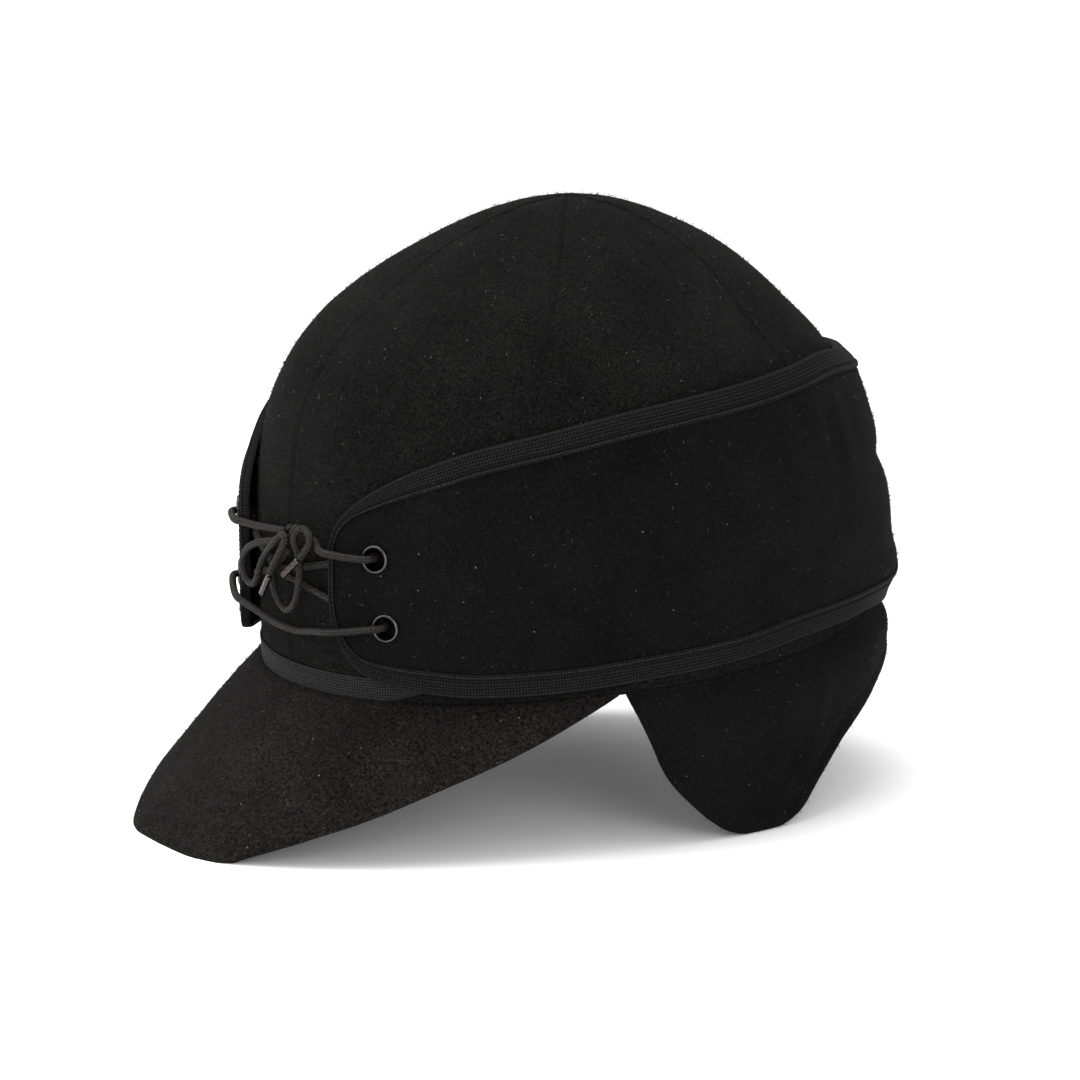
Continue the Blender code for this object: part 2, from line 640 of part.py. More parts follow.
def make_eyelets(material, parent):
    """Rolled eyelets: a barrel through the wool, a roll outside and a clenched ring inside."""
    barrel = EYELET_BORE_RADIUS + EYELET_BARREL
    roll_middle = (EYELET_BORE_RADIUS + EYELET_RADIUS) / 2
    back = -BAND_WALL - 1.5 * CLEARANCE
    profile = (
        (EYELET_BORE_RADIUS, back - EYELET_CLENCH),
        (EYELET_BORE_RADIUS, CLEARANCE + 0.5 * EYELET_ROLL),
        (roll_middle, CLEARANCE + EYELET_ROLL),
        (EYELET_RADIUS, CLEARANCE + 0.5 * EYELET_ROLL),
        (EYELET_RADIUS - 0.2 * EYELET_ROLL, CLEARANCE),
        (barrel, CLEARANCE),
        (barrel, back),
        (roll_middle + 0.1 * EYELET_ROLL, back),
        (roll_middle + 0.1 * EYELET_ROLL, back - EYELET_CLENCH),
    )
    for name, angle, height in eyelet_places():
        loops = turned_loops(eyelet_frame(angle, height), profile, EYELET_SIDES)
        points, faces = sweep_mesh(loops, closed=True)
        make_object(name, points, faces, material, parent)


def make_eyelet_cutter(parent):
    """Four plugs that cut the eyelets' holes through the band."""
    radius = EYELET_BORE_RADIUS + EYELET_BARREL + CLEARANCE
    points = []
    faces = []
    for _, angle, height in eyelet_places():
        middle, axis, sideways, upwards = eyelet_frame(angle, height)
        start = len(points)
        for depth in (-2 * BAND_WALL, BAND_WALL):
            for turn in np.arange(EYELET_SIDES) * 2 * math.pi / EYELET_SIDES:
                spoke = math.cos(turn) * sideways + math.sin(turn) * upwards
                points.append(middle + spoke * radius + axis * depth)
        for side in range(EYELET_SIDES):
            beside = (side + 1) % EYELET_SIDES
            quad = [side, beside, EYELET_SIDES + beside, EYELET_SIDES + side]
            faces.append([start + index for index in quad])
        faces.append([start + index for index in range(EYELET_SIDES)])
        faces.append([start + 2 * EYELET_SIDES - 1 - index for index in range(EYELET_SIDES)])
    material = bpy.data.materials.new("cutter")
    cutter = make_object("eyelet_cutter", points, faces, material, parent)
    cutter.hide_render = True
    cutter.display_type = "WIRE"
    return cutter


def from_knot(rows):
    """Rows with heights above the floor, from rows with heights above the knot's middle."""
    return np.array(rows) + [0.0, KNOT_HEIGHT / MM, 0.0]


def lace_route():
    """The whole lace's route; the second run is lifted where it crosses the first."""
    run = np.array(LACE_RUN)
    mirrored = run[::-1] * [-1, 1, 1]
    near_crossing = hump(mirrored[:, 0] * DEGREE, 0.0, CROSSING_SPREAD)
    near_crossing *= hump(mirrored[:, 1] * MM, CROSSING_HEIGHT, CROSSING_RISE)
    mirrored[:, 2] += CROSSING_LIFT / MM * near_crossing
    return np.concatenate([from_knot(LACE_NEAR_START), run, mirrored, from_knot(LACE_FAR_END)])


def smooth_route(route):
    """Points in space along a smooth curve through a route's rows, closer together where it bends."""
    rows = np.array(route, float)
    padded = np.concatenate([[2 * rows[0] - rows[1]], rows, [2 * rows[-1] - rows[-2]]])
    samples = np.linspace(0, 1, 24, endpoint=False)[:, None]
    fine = []
    for index in range(len(rows) - 1):
        before, start, end, after = padded[index : index + 4]
        fine.append(
            0.5
            * (
                2 * start
                + (end - before) * samples
                + (2 * before - 5 * start + 4 * end - after) * samples**2
                + (3 * start - before - 3 * end + after) * samples**3
            )
        )
    fine = np.concatenate(fine + [rows[-1:]])
    points = skin_point(fine[:, 0] * DEGREE, fine[:, 1] * MM, fine[:, 2] * MM)
    chords = np.diff(points, axis=0)
    lengths = np.linalg.norm(chords, axis=1)
    ways = chords / lengths[:, None]
    turns = np.arccos(np.clip(np.sum(ways[1:] * ways[:-1], axis=1), -1.0, 1.0))
    effort = lengths / CORD_LONGEST_STEP
    effort[1:] += turns / CORD_TURN_PER_STEP
    effort = np.concatenate([[0.0], np.cumsum(effort)])
    places = np.linspace(0, effort[-1], round(effort[-1]) + 1)
    return np.stack([np.interp(places, effort, points[:, axis]) for axis in range(3)], axis=1)


def make_cord(name, route, material, parent):
    """A round cord along a route, as a bevelled curve with closed ends."""
    points = smooth_route(route)
    curve = bpy.data.curves.new(name, "CURVE")
    curve.dimensions = "3D"
    curve.bevel_depth = LACE_DIAMETER / 2
    curve.bevel_resolution = 2
    curve.use_fill_caps = True
    spline = curve.splines.new("POLY")
    spline.points.add(len(points) - 1)
    for place, point in zip(spline.points, points):
        place.co = (*point, 1.0)
    curve.materials.append(material)
    cord = bpy.data.objects.new(name, curve)
    bpy.context.scene.collection.objects.link(cord)
    cord.parent = parent
    return points


def make_knot(material, parent):
    """The knot's outer form, a rounded lump."""
    middle = skin_point(KNOT_ANGLE, KNOT_HEIGHT, KNOT_OFFSET)
    axis = middle - skin_point(KNOT_ANGLE, KNOT_HEIGHT, 0.0)
    axis /= np.linalg.norm(axis)
    sideways = np.cross([0.0, 0.0, 1.0], axis)
    sideways /= np.linalg.norm(sideways)
    upwards = np.cross(axis, sideways)
    shape = bmesh.new()
    bmesh.ops.create_icosphere(shape, subdivisions=2, radius=1.0)
    points = []
    for corner in shape.verts:
        across, out, up = corner.co
        reach = sideways * across * KNOT_HALF_WIDTH + axis * out * KNOT_HALF_DEPTH
        points.append(middle + reach + upwards * up * KNOT_HALF_HEIGHT)
    faces = [[corner.index for corner in face.verts] for face in shape.faces]
    shape.free()
    make_object("bow_knot", points, faces, material, parent)


def make_aglet(name, cord_points, material, parent):
    """A crimped metal tip in line with the end of its cord, its flat side to the front."""
    before, last = cord_points[-2:]
    ahead = last - before
    ahead /= np.linalg.norm(ahead)
    wide = np.cross(ahead, [0.0, -1.0, 0.0])
    wide /= np.linalg.norm(wide)
    thin = np.cross(ahead, wide)
    stations = ((0.0, 0.8), (0.15, 1.0), (0.85, 1.0), (1.0, 0.7))
    sections = []
    for share, size in stations:
        middle = last + ahead * (CLEARANCE + AGLET_LENGTH * share)
        loop = []
        for turn in np.arange(8) * math.pi / 4:
            across = wide * math.cos(turn) * AGLET_HALF_WIDTH * size
            loop.append(middle + across + thin * math.sin(turn) * AGLET_HALF_THICKNESS * size)
        sections.append(loop)
    points, faces = sweep_mesh(np.array(sections), closed=False)
    make_object(name, points, faces, material, parent)


def centre_on_floor(root):
    """Moves the root so that the origin is on the floor under the middle of the cap's box."""
    bpy.context.view_layer.update()
    graph = bpy.context.evaluated_depsgraph_get()
    corners = []
    for thing in root.children:
        if thing.hide_render:
            continue
        shown = thing.evaluated_get(graph)
        mesh = shown.to_mesh()
        corners.extend(shown.matrix_world @ vertex.co for vertex in mesh.vertices)
        shown.to_mesh_clear()
    corners = np.array(corners)
    low = corners.min(axis=0)
    high = corners.max(axis=0)
    root.location = (-(low[0] + high[0]) / 2, -(low[1] + high[1]) / 2, -low[2])


def build_cap():
    """Makes every piece of the cap."""
    for thing in list(bpy.data.objects):
        bpy.data.objects.remove(thing)
    root = bpy.data.objects.new("cap_root", None)
    bpy.context.scene.collection.objects.link(root)

    wool = make_material("black wool", WOOL_COLOUR)
    braid = make_material("black braid tape", TAPE_COLOUR)
    cord = make_material("brown-black lace", LACE_COLOUR)
    eyelet_metal = make_material("gunmetal", EYELET_COLOUR)
    aglet_metal = make_material("bright tip metal", AGLET_COLOUR)

    make_crown(wool, root)
    make_bill(wool, root)
    make_flap(wool, root)
    make_band(wool, root)
    make_band_tape("band_tape_top", True, braid, root)
    make_band_tape("band_tape_bottom", False, braid, root)
    make_rim_tape(braid, root)
    make_eyelets(eyelet_metal, root)
    make_cord("lace", lace_route(), cord, root)
    make_knot(cord, root)
    near = make_cord("bow_cord_near", from_knot(NEAR_BOW_ROUTE), cord, root)
    far = make_cord("bow_cord_far", from_knot(FAR_BOW_ROUTE), cord, root)
    make_aglet("aglet_near", near, aglet_metal, root)
    make_aglet("aglet_far", far, aglet_metal, root)
    centre_on_floor(root)


build_cap()
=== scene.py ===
import json
import math

import bmesh
import bpy
import numpy as np
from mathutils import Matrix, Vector, noise


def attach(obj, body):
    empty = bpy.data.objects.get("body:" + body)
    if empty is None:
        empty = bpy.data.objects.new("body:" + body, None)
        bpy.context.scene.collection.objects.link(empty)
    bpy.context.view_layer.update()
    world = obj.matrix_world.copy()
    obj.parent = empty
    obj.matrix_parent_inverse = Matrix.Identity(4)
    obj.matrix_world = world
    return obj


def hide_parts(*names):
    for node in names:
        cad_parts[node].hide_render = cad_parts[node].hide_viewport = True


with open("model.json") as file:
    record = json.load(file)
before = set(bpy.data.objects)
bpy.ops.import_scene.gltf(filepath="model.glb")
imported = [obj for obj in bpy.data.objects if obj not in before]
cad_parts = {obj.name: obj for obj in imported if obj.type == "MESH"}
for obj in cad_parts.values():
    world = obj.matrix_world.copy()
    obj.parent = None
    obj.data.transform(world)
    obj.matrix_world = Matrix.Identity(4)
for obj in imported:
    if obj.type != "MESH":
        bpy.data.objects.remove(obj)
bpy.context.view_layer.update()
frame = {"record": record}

MM = 0.001
DEGREE = math.pi / 180.0
mounts = {mount["name"]: mount for mount in frame["record"]["mounts"]}
HEAD_CENTRE = np.array(mounts["head_opening"]["pos_m"]) * [1, 1, 0]

# Camera, in the photograph's own viewing direction.
CAMERA_TURN = 58.5 * DEGREE
CAMERA_RISE = 12.3 * DEGREE
CAMERA_DISTANCE = 1.6
CAMERA_AIM = (-4.3 * MM, -7.1 * MM, 76.3 * MM)
CAMERA_LENS = 173.33
CAMERA_SENSOR = 36.0

# The cap's driving sizes, as its solids have them.
CROWN_HALF_WIDTH = 85.0 * MM
CROWN_HALF_LENGTH = 100.0 * MM
CROWN_HEIGHT = 133.0 * MM
CROWN_WALL = 2.6 * MM
PANELS = 6
PANEL_VALLEY = 1.2 * MM
RIM_HEIGHT = 51.0 * MM
RIM_TILT = 7.0 * MM
RIM_DRAW = 3.2 * MM
RIM_DRAW_HEIGHT = 9.0 * MM
BILL_REACH = 46.0 * MM
BILL_HALF_ANGLE = 70.2 * DEGREE
BILL_WALL = 3.0 * MM
BILL_CROWNING = 1.6 * MM
BILL_END_DEPTH = 1.2 * MM
FLAP_WALL = 2.6 * MM
FLAP_BULGE = 1.4 * MM
FLAP_LEAN = 2.4 * MM
BAND_HEIGHT = 84.0 * MM
BAND_WALL = 2.0 * MM
BAND_STANDOFF = 0.6 * MM
FRONT_LIFT_TOP = 114.0 * MM
FRONT_LIFT_FADE = 20.0 * MM
BACK_STANDOFF = 1.3 * MM
BACK_TOP_LIFT = 1.5 * MM
FOLD_DEPTH = 1.5 * MM
FOLD_HEIGHT = 101.0 * MM
FOLD_SPREAD = 5.0 * MM
ROLL_DEPTH = 1.8 * MM
ROLL_HEIGHT = 69.0 * MM
ROLL_SPREAD = 5.0 * MM
TAPE_THICKNESS = 0.6 * MM
BAND_TAPE_WIDTH = 6.4 * MM
BAND_TAPE_END_WIDTH = 1.5 * MM
RIM_TAPE_WIDTH = 6.5 * MM
RIM_TAPE_HALF_ANGLE = 44.0 * DEGREE
EYELET_BORE_RADIUS = 3.3 * MM
EYELET_BARREL = 0.3 * MM
EYELET_RADIUS = 4.3 * MM
EYELET_ROLL = 0.9 * MM
EYELET_CLENCH = 0.3 * MM
EYELET_UPPER_ANGLE = 27.5 * DEGREE
EYELET_UPPER_HEIGHT = 88.6 * MM
EYELET_LOWER_ANGLE = 29.2 * DEGREE
EYELET_LOWER_HEIGHT = 68.4 * MM
LACE_DIAMETER = 2.2 * MM
CROSSING_LIFT = 2.7 * MM
CROSSING_SPREAD = 3.7 * DEGREE
CROSSING_HEIGHT = 78.8 * MM
CROSSING_RISE = 6.0 * MM
KNOT_HALF_WIDTH = 3.4 * MM
KNOT_HALF_HEIGHT = 3.2 * MM
KNOT_HALF_DEPTH = 2.3 * MM
KNOT_ANGLE = 6.0 * DEGREE
KNOT_HEIGHT = 91.0 * MM
KNOT_OFFSET = 3.2 * MM
AGLET_LENGTH = 8.0 * MM
AGLET_HALF_WIDTH = 1.6 * MM
AGLET_HALF_THICKNESS = 0.8 * MM
CLEARANCE = 0.3 * MM

# Sizes of the dressed cap alone. A pair says where a change starts and ends: for the rim tape and the lower
# tape as angles from the front, for the others as shares of the band's half length or height.
CROWN_HEM = 1.0 * MM
SWELL_LIMIT = 0.9 * MM
SEAM_DEPTH = 0.55 * MM
SEAM_WIDTH = 0.55 * MM
SEAM_RIDGE = 0.16 * MM
SEAM_RIDGE_AWAY = 1.6 * MM
SEAM_RIDGE_WIDTH = 1.0 * MM
FLAP_BORDER_LIFT = 0.45 * MM
FLAP_BORDER_GROOVE = 0.35 * MM
TOP_TUCK = 2.2 * MM
TOP_TUCK_SHARES = (0.90, 0.985)
FRONT_EDGE_SHARE = 0.1
FRONT_EDGE_LAP = 0.01
EDGE_BLUR = 9
BAND_TAPE_GROWS = (0.02, 0.20)
LOWER_TAPE_SPREAD = 0.5
LOWER_TAPE_SPREADS = (125.0 * DEGREE, 155.0 * DEGREE)
TAPE_SEAT = 0.12 * MM
TAPE_BODY = 0.75
TAPE_RIBS = 6
TAPE_RIB_HEIGHT = 0.14 * MM
TAPE_RIBBED_SHARE = 0.68
TAPE_GROOVE_DEPTH = 0.34 * MM
TAPE_LINE_START = 0.80
TAPE_LINE_CREST = 0.90
TAPE_LINE_HEIGHT = 0.30 * MM
RIM_TAPE_LAP = 0.4 * MM
RIM_TAPE_SEAT = 0.15 * MM
RIM_TAPE_RIBS = 7
RIM_RIB_HEIGHT = 0.12 * MM
RIM_TAPE_NARROWING = 0.6
RIM_TAPE_NARROWS = (26.0 * DEGREE, 38.0 * DEGREE)
RIM_STITCH_SHARE = 0.88
BRAID_STRANDS = 4
BRAID_LAY = 2.6 * MM
BRAID_RELIEF = 0.10
BRAID_SINK = 0.06
CORD_END_ROUNDING = 0.35
AGLET_PRESSED = 0.72
AGLET_CRIMPS = (0.22, 0.50, 0.78)
AGLET_CRIMP_DEPTH = 0.10
AGLET_CRIMP_WIDTH = 0.04
STITCH_PITCH = 1.5 * MM
STITCH_LENGTH = 1.2 * MM
STITCH_THICKNESS = 0.26 * MM

# Unevenness of the handled wool: size and depth of its waves or ripples, and a seed.
CROWN_WAVES = (28 * MM, 0.7 * MM, 3.1)
CROWN_RIPPLES = (5 * MM, 0.10 * MM, 9.7)
BAND_WAVES = (24 * MM, 0.5 * MM, 5.3)
BAND_RIPPLES = (5 * MM, 0.08 * MM, 1.7)
BILL_WAVES = (22 * MM, 0.45 * MM, 2.9)
BILL_RIPPLES = (5 * MM, 0.08 * MM, 4.1)
FLAP_WAVES = (20 * MM, 0.7 * MM, 7.7)
FLAP_RIPPLES = (5 * MM, 0.08 * MM, 6.1)

# Loose fibres: number on a square metre, length, thickness at the root and greatest lean in radians. A seed
# starts the random draws, and the bill's edge fibres grow on its last rows.
NAP_FIBRES = {"Density": 220000.0, "Length": 1.5 * MM, "Thickness": 0.075 * MM, "Lean": 1.0}
LINT_FIBRES = {"Density": 12000.0, "Length": 1.2 * MM, "Thickness": 0.040 * MM, "Lean": 1.5}
EDGE_FIBRES = {"Density": 110000.0, "Length": 0.9 * MM, "Thickness": 0.05 * MM, "Lean": 1.3}
NAP_SEED = 3
LINT_SEED = 31
EDGE_SEED = 77
BILL_EDGE_ROWS = 6

# Wool: colour in the depth and at the tips of its nap, and share of bright specks.
CROWN_TONES = ((0.0018, 0.0018, 0.0018, 1.0), (0.0105, 0.0100, 0.0096, 1.0), 0.16)
BAND_TONES = ((0.0022, 0.0022, 0.0022, 1.0), (0.0058, 0.0058, 0.0058, 1.0), 0.10)
BILL_TONES = ((0.0016, 0.0016, 0.0016, 1.0), (0.0190, 0.0175, 0.0168, 1.0), 0.22)

# Stage: floor tone and half width, sky strength, and the softboxes' names, places, sizes and powers.
FLOOR_TONE = 0.96
FLOOR_HALF_WIDTH = 12.0
SKY_STRENGTH = 1.0
LIGHT_AIM = (0.0, 0.0, 0.08)
SOFTBOXES = (
    ("top softbox", (-0.2, -0.15, 1.25), 1.1, 16.0),
    ("front softbox", (-0.5, -1.3, 0.7), 0.7, 8.0),
    ("side softbox", (1.3, -0.2, 0.6), 0.7, 5.0),
    ("low fill", (1.1, -0.8, 0.20), 0.4, 5.0),
)

# Crown profile: share of the crown's height, share of its plan, and move backwards as a share of its half
# length.
CROWN_PROFILE = (
    (0.00, 1.000, 0.026),
    (0.25, 0.990, 0.010),
    (0.40, 0.965, -0.008),
    (0.53, 0.922, -0.024),
    (0.644, 0.848, -0.029),
    (0.727, 0.755, -0.030),
    (0.795, 0.656, -0.022),
    (0.856, 0.545, -0.010),
    (0.90, 0.445, -0.002),
    (0.94, 0.331, 0.000),
    (0.98, 0.175, 0.000),
    (1.00, 0.000, 0.000),
)

# Bill's free edge: share of the half edge from the middle, share of the rim's half width, share of the
# reach, share of the rim's height.
BILL_EDGE = (
    (0.00, 0.000, 1.000, 0.000),
    (0.12, 0.175, 0.995, 0.000),
    (0.22, 0.320, 0.965, 0.000),
    (0.30, 0.435, 0.905, 0.075),
    (0.42, 0.590, 0.790, 0.200),
    (0.54, 0.725, 0.650, 0.335),
    (0.66, 0.835, 0.485, 0.500),
    (0.78, 0.920, 0.310, 0.665),
    (0.90, 0.980, 0.130, 0.860),
    (1.00, 1.000, 0.000, 1.000),
)

# Ear flap's lower edge: share of the way from front end to back, angle at the rim, angle at the lower edge,
# height of the lower edge as a share of the rim's height.
FLAP_EDGE = (
    (0.00, 71.4, 72.6, 0.910),
    (0.04, 74.0, 76.0, 0.660),
    (0.09, 78.0, 79.5, 0.420),
    (0.14, 83.0, 84.5, 0.230),
    (0.19, 88.0, 89.0, 0.100),
    (0.235, 92.5, 93.0, 0.025),
    (0.27, 96.5, 96.5, 0.000),
    (0.33, 103.5, 103.5, 0.000),
    (0.37, 108.0, 108.5, 0.050),
    (0.42, 113.5, 114.0, 0.215),
    (0.48, 121.0, 121.5, 0.400),
    (0.57, 131.0, 131.5, 0.520),
    (0.69, 145.0, 145.0, 0.630),
    (0.83, 161.0, 161.0, 0.680),
    (1.00, 180.0, 180.0, 0.700),
)

# Ear band's outline: share of the way from front end to back, angle and height of the upper edge, angle and
# height of the lower edge, with the heights as shares of the band's height above the rim.
BAND_OUTLINE = (
    (0.000, 17.5, 0.545, 17.3, 0.360),
    (0.030, 18.8, 0.610, 17.8, 0.290),
    (0.065, 21.2, 0.670, 19.6, 0.205),
    (0.105, 25.0, 0.725, 23.0, 0.130),
    (0.145, 31.0, 0.785, 28.5, 0.088),
    (0.185, 38.0, 0.835, 36.0, 0.062),
    (0.242, 48.0, 0.886, 46.5, 0.046),
    (0.322, 62.0, 0.928, 61.0, 0.046),
    (0.410, 77.0, 0.960, 76.5, 0.053),
    (0.496, 92.0, 0.970, 92.0, 0.059),
    (0.588, 108.0, 0.971, 108.0, 0.080),
    (0.690, 126.0, 0.968, 126.0, 0.074),
    (0.828, 150.0, 0.912, 150.0, 0.016),
    (1.000, 180.0, 0.850, 180.0, 0.000),
)

# Lace: angle in degrees, height and offset in millimetres, as its solids have them. The heights of its two
# ends and of the bow are measured from the knot's middle.
LACE_NEAR_START = ((9.0, 0.4, 3.2), (12.5, -0.5, 3.5), (14.6, -1.5, 5.7))
LACE_RUN = (
    (16.7, 88.9, 7.6), (20.5, 88.6, 7.8), (23.3, 88.6, 7.9), (25.3, 88.6, 7.9), (26.4, 88.6, 7.1),
    (26.9, 88.6, 4.8), (26.7, 88.6, 2.6), (25.6, 88.4, 1.4), (22.5, 87.0, 1.35), (10.0, 82.3, 1.35),
    (4.5, 80.35, 1.35), (0.0, 78.75, 1.35), (-4.5, 77.15, 1.35), (-10.0, 75.2, 1.35), (-25.0, 69.8, 1.35),
    (-27.3, 68.6, 1.4), (-28.4, 68.5, 2.6), (-28.6, 68.4, 4.8), (-28.1, 68.3, 7.1), (-27.0, 68.1, 7.9),
    (-24.9, 67.5, 8.0), (-21.0, 66.2, 7.9), (-17.0, 65.1, 7.6), (-14.4, 64.4, 6.2), (-9.5, 62.7, 3.3),
    (-4.5, 61.4, 1.9),
)
LACE_FAR_END = (
    (-14.6, -2.0, 5.8), (-10.0, -1.8, 3.4), (-5.0, -1.0, 2.4), (0.0, -0.1, 2.6), (3.0, 0.3, 3.0),
)
NEAR_BOW_ROUTE = (
    (5.4, -4.3, 3.4), (4.4, -6.1, 4.6), (2.8, -8.8, 5.8), (1.4, -11.8, 6.3), (0.3, -15.0, 5.4),
    (-0.6, -18.4, 4.1), (-0.2, -21.6, 3.2), (1.8, -23.6, 2.8), (4.4, -22.6, 3.0), (6.6, -19.2, 3.6),
    (7.9, -15.6, 4.3), (8.5, -11.8, 4.4), (8.8, -7.8, 4.7), (9.2, -4.2, 5.8), (9.0, -1.0, 6.9),
    (9.4, 1.9, 6.7), (11.0, 3.2, 6.0), (12.8, 1.6, 6.2), (12.9, -1.0, 6.8), (11.9, -3.6, 7.4),
    (10.8, -5.4, 7.8),
)
FAR_BOW_ROUTE = (
    (3.2, -2.6, 3.4), (0.5, -3.1, 4.4), (-3.0, -4.3, 5.2), (-7.0, -6.1, 5.9), (-10.8, -9.0, 6.4),
    (-13.2, -12.6, 6.6), (-13.8, -16.2, 6.4), (-12.2, -19.0, 5.8), (-9.6, -19.2, 5.2), (-7.6, -17.0, 5.0),
    (-6.2, -14.0, 5.0), (-4.8, -11.0, 5.0), (-3.0, -8.2, 5.0), (-0.9, -5.8, 5.4), (1.5, -3.6, 6.2),
    (3.8, -1.4, 6.9), (5.6, 0.4, 7.1), (6.9, -0.4, 7.5), (6.6, -2.8, 8.0), (5.4, -6.0, 8.5),
    (4.0, -9.2, 8.7), (2.6, -12.4, 8.7),
)

# Fineness of the dressed surfaces.
CROWN_COLUMNS = 300
CROWN_RINGS = 110
BAND_ROWS = 56
FLAP_ROWS = 44
BILL_COLUMNS = 220
BILL_ROWS = 50
TAPE_STEPS = 500
CORD_STEP = 0.30 * MM
CORD_SIDES = 24

# Soft dents and swells of the wool: angle and height of the middle, reach along and up, depth outwards.
CROWN_DENTS = (
    (62.0, 150.0, 26.0, 16.0, 0.9),
    (100.0, 158.0, 22.0, 12.0, -1.0),
    (35.0, 128.0, 14.0, 10.0, -0.7),
    (128.0, 150.0, 14.0, 12.0, -1.2),
    (20.0, 150.0, 20.0, 12.0, 0.7),
    (-40.0, 150.0, 24.0, 15.0, 0.8),
    (-100.0, 152.0, 22.0, 14.0, -1.0),
    (170.0, 155.0, 20.0, 12.0, -0.8),
)
BAND_DENTS = (
    (122.5, 114.0, 2.6, 11.0, -0.9),
    (113.0, 122.0, 2.4, 7.0, -0.7),
    (131.0, 118.0, 2.6, 9.0, -0.6),
    (118.0, 115.0, 2.6, 9.0, 0.4),
    (127.0, 112.0, 2.6, 9.0, 0.4),
    (70.0, 86.0, 14.0, 14.0, 0.7),
    (48.0, 80.0, 9.0, 12.0, -0.5),
    (95.0, 76.0, 12.0, 10.0, -0.6),
    (-118.0, 112.0, 3.0, 10.0, -0.8),
    (-127.0, 114.0, 3.0, 9.0, -0.6),
    (-60.0, 84.0, 14.0, 14.0, 0.6),
)
FLAP_DENTS = (
    (107.0, 21.0, 2.6, 4.0, -1.4),
    (112.5, 38.0, 2.6, 12.0, 0.9),
    (101.0, 36.0, 6.0, 12.0, -0.6),
    (90.0, 25.0, 5.0, 10.0, 0.6),
    (-106.0, 24.0, 3.0, 6.0, -1.0),
    (-92.0, 30.0, 6.0, 12.0, 0.6),
)


def smooth_table(rows, where):
    """Values of a table's later columns at places along its first, on a curve that never overshoots."""
    rows = np.array(rows, float)
    places = rows[:, 0]
    values = rows[:, 1:]
    where = np.clip(np.asarray(where, float), places[0], places[-1])
    steps = np.diff(places)[:, None]
    slopes = np.diff(values, axis=0) / steps
    total = slopes[:-1] + slopes[1:]
    same_way = slopes[:-1] * slopes[1:] > 0
    tangents = np.empty_like(values)
    tangents[0] = slopes[0]
    tangents[-1] = slopes[-1]
    tangents[1:-1] = np.where(same_way, 2 * slopes[:-1] * slopes[1:] / np.where(same_way, total, 1.0), 0.0)
    row = np.clip(np.searchsorted(places, where, side="right") - 1, 0, len(places) - 2)
    step = steps[row]
    t = ((where - places[row])[..., None]) / step
    return (
        (2 * t**3 - 3 * t**2 + 1) * values[row]
        + (t**3 - 2 * t**2 + t) * step * tangents[row]
        + (3 * t**2 - 2 * t**3) * values[row + 1]
        + (t**3 - t**2) * step * tangents[row + 1]
    )


def smooth_step(value, start, end):
    """0 before start, 1 after end and a smooth rise between."""
    t = np.clip((value - start) / (end - start), 0.0, 1.0)
    return t * t * (3 - 2 * t)


def hump(value, centre, spread):
    """A smooth bump of height 1 at centre."""
    return np.exp(-(((value - centre) / spread) ** 2))


def turned_from_front(angle):
    """Angle from the front centre, the same on both sides, between 0 and half a turn."""
    return np.abs((np.asarray(angle, float) + math.pi) % (2 * math.pi) - math.pi)


def rim_height(angle):
    """Height of the rim seam, lower at the front."""
    return RIM_HEIGHT - RIM_TILT * np.cos(angle)


def rim_draw(angle, height):
    """How far the rim is drawn in, most behind the ears."""
    behind = 0.3 + 0.7 * smooth_step(turned_from_front(angle), 80 * DEGREE, 140 * DEGREE)
    above = np.maximum(height - rim_height(angle), 0.0)
    return RIM_DRAW * behind * hump(above, 0.0, RIM_DRAW_HEIGHT)


def crown_point(angle, height):
    """A point of the crown's smooth outer surface, before panels and seams, about the head's centre."""
    share = np.clip((height - RIM_HEIGHT) / CROWN_HEIGHT, 0.0, 1.0)
    profile = smooth_table(CROWN_PROFILE, share)
    draw = 1.0 - rim_draw(angle, height) / CROWN_HALF_LENGTH
    x = CROWN_HALF_WIDTH * profile[..., 0] * draw * np.sin(angle)
    y = CROWN_HALF_LENGTH * (profile[..., 1] - profile[..., 0] * draw * np.cos(angle))
    return np.stack([x, y, np.broadcast_to(height, x.shape)], axis=-1)


def skin_point(angle, height, offset):
    """A point outside (or, with a negative offset, inside) the crown's surface, in the cap's own frame."""
    angle, height, offset = np.broadcast_arrays(
        np.asarray(angle, float), np.asarray(height, float), np.asarray(offset, float)
    )
    turn = 0.01
    climb = 0.5 * MM
    top = RIM_HEIGHT + CROWN_HEIGHT
    lower = np.minimum(height, top - 1.5 * MM) - climb
    sideways = crown_point(angle + turn, height) - crown_point(angle - turn, height)
    upwards = crown_point(angle, lower + 2 * climb) - crown_point(angle, lower)
    normal = np.cross(sideways, upwards)
    length = np.linalg.norm(normal, axis=-1, keepdims=True)
    normal = normal / np.where(length > 0, length, 1.0)
    return crown_point(angle, height) + normal * offset[..., None] + HEAD_CENTRE


def band_standoff(angle, height):
    """Clear space between the crown and the ear band's inner face."""
    turned = turned_from_front(angle)
    lace_room = LACE_DIAMETER + EYELET_CLENCH + 3 * CLEARANCE
    front = (lace_room - BAND_STANDOFF) * (1 - smooth_step(turned, 46 * DEGREE, 78 * DEGREE))
    front = front * (1 - smooth_step(height, FRONT_LIFT_TOP - FRONT_LIFT_FADE, FRONT_LIFT_TOP))
    back = smooth_step(turned, 95 * DEGREE, 150 * DEGREE)
    share = np.clip((height - RIM_HEIGHT) / BAND_HEIGHT, 0.0, 1.0)
    lift = BACK_STANDOFF + BACK_TOP_LIFT * share**2
    fold = FOLD_DEPTH * hump(height, FOLD_HEIGHT, FOLD_SPREAD)
    roll = ROLL_DEPTH * hump(height, ROLL_HEIGHT, ROLL_SPREAD)
    tuck = TOP_TUCK * smooth_step(share, *TOP_TUCK_SHARES)
    return BAND_STANDOFF + front + back * (lift - fold + roll - tuck)


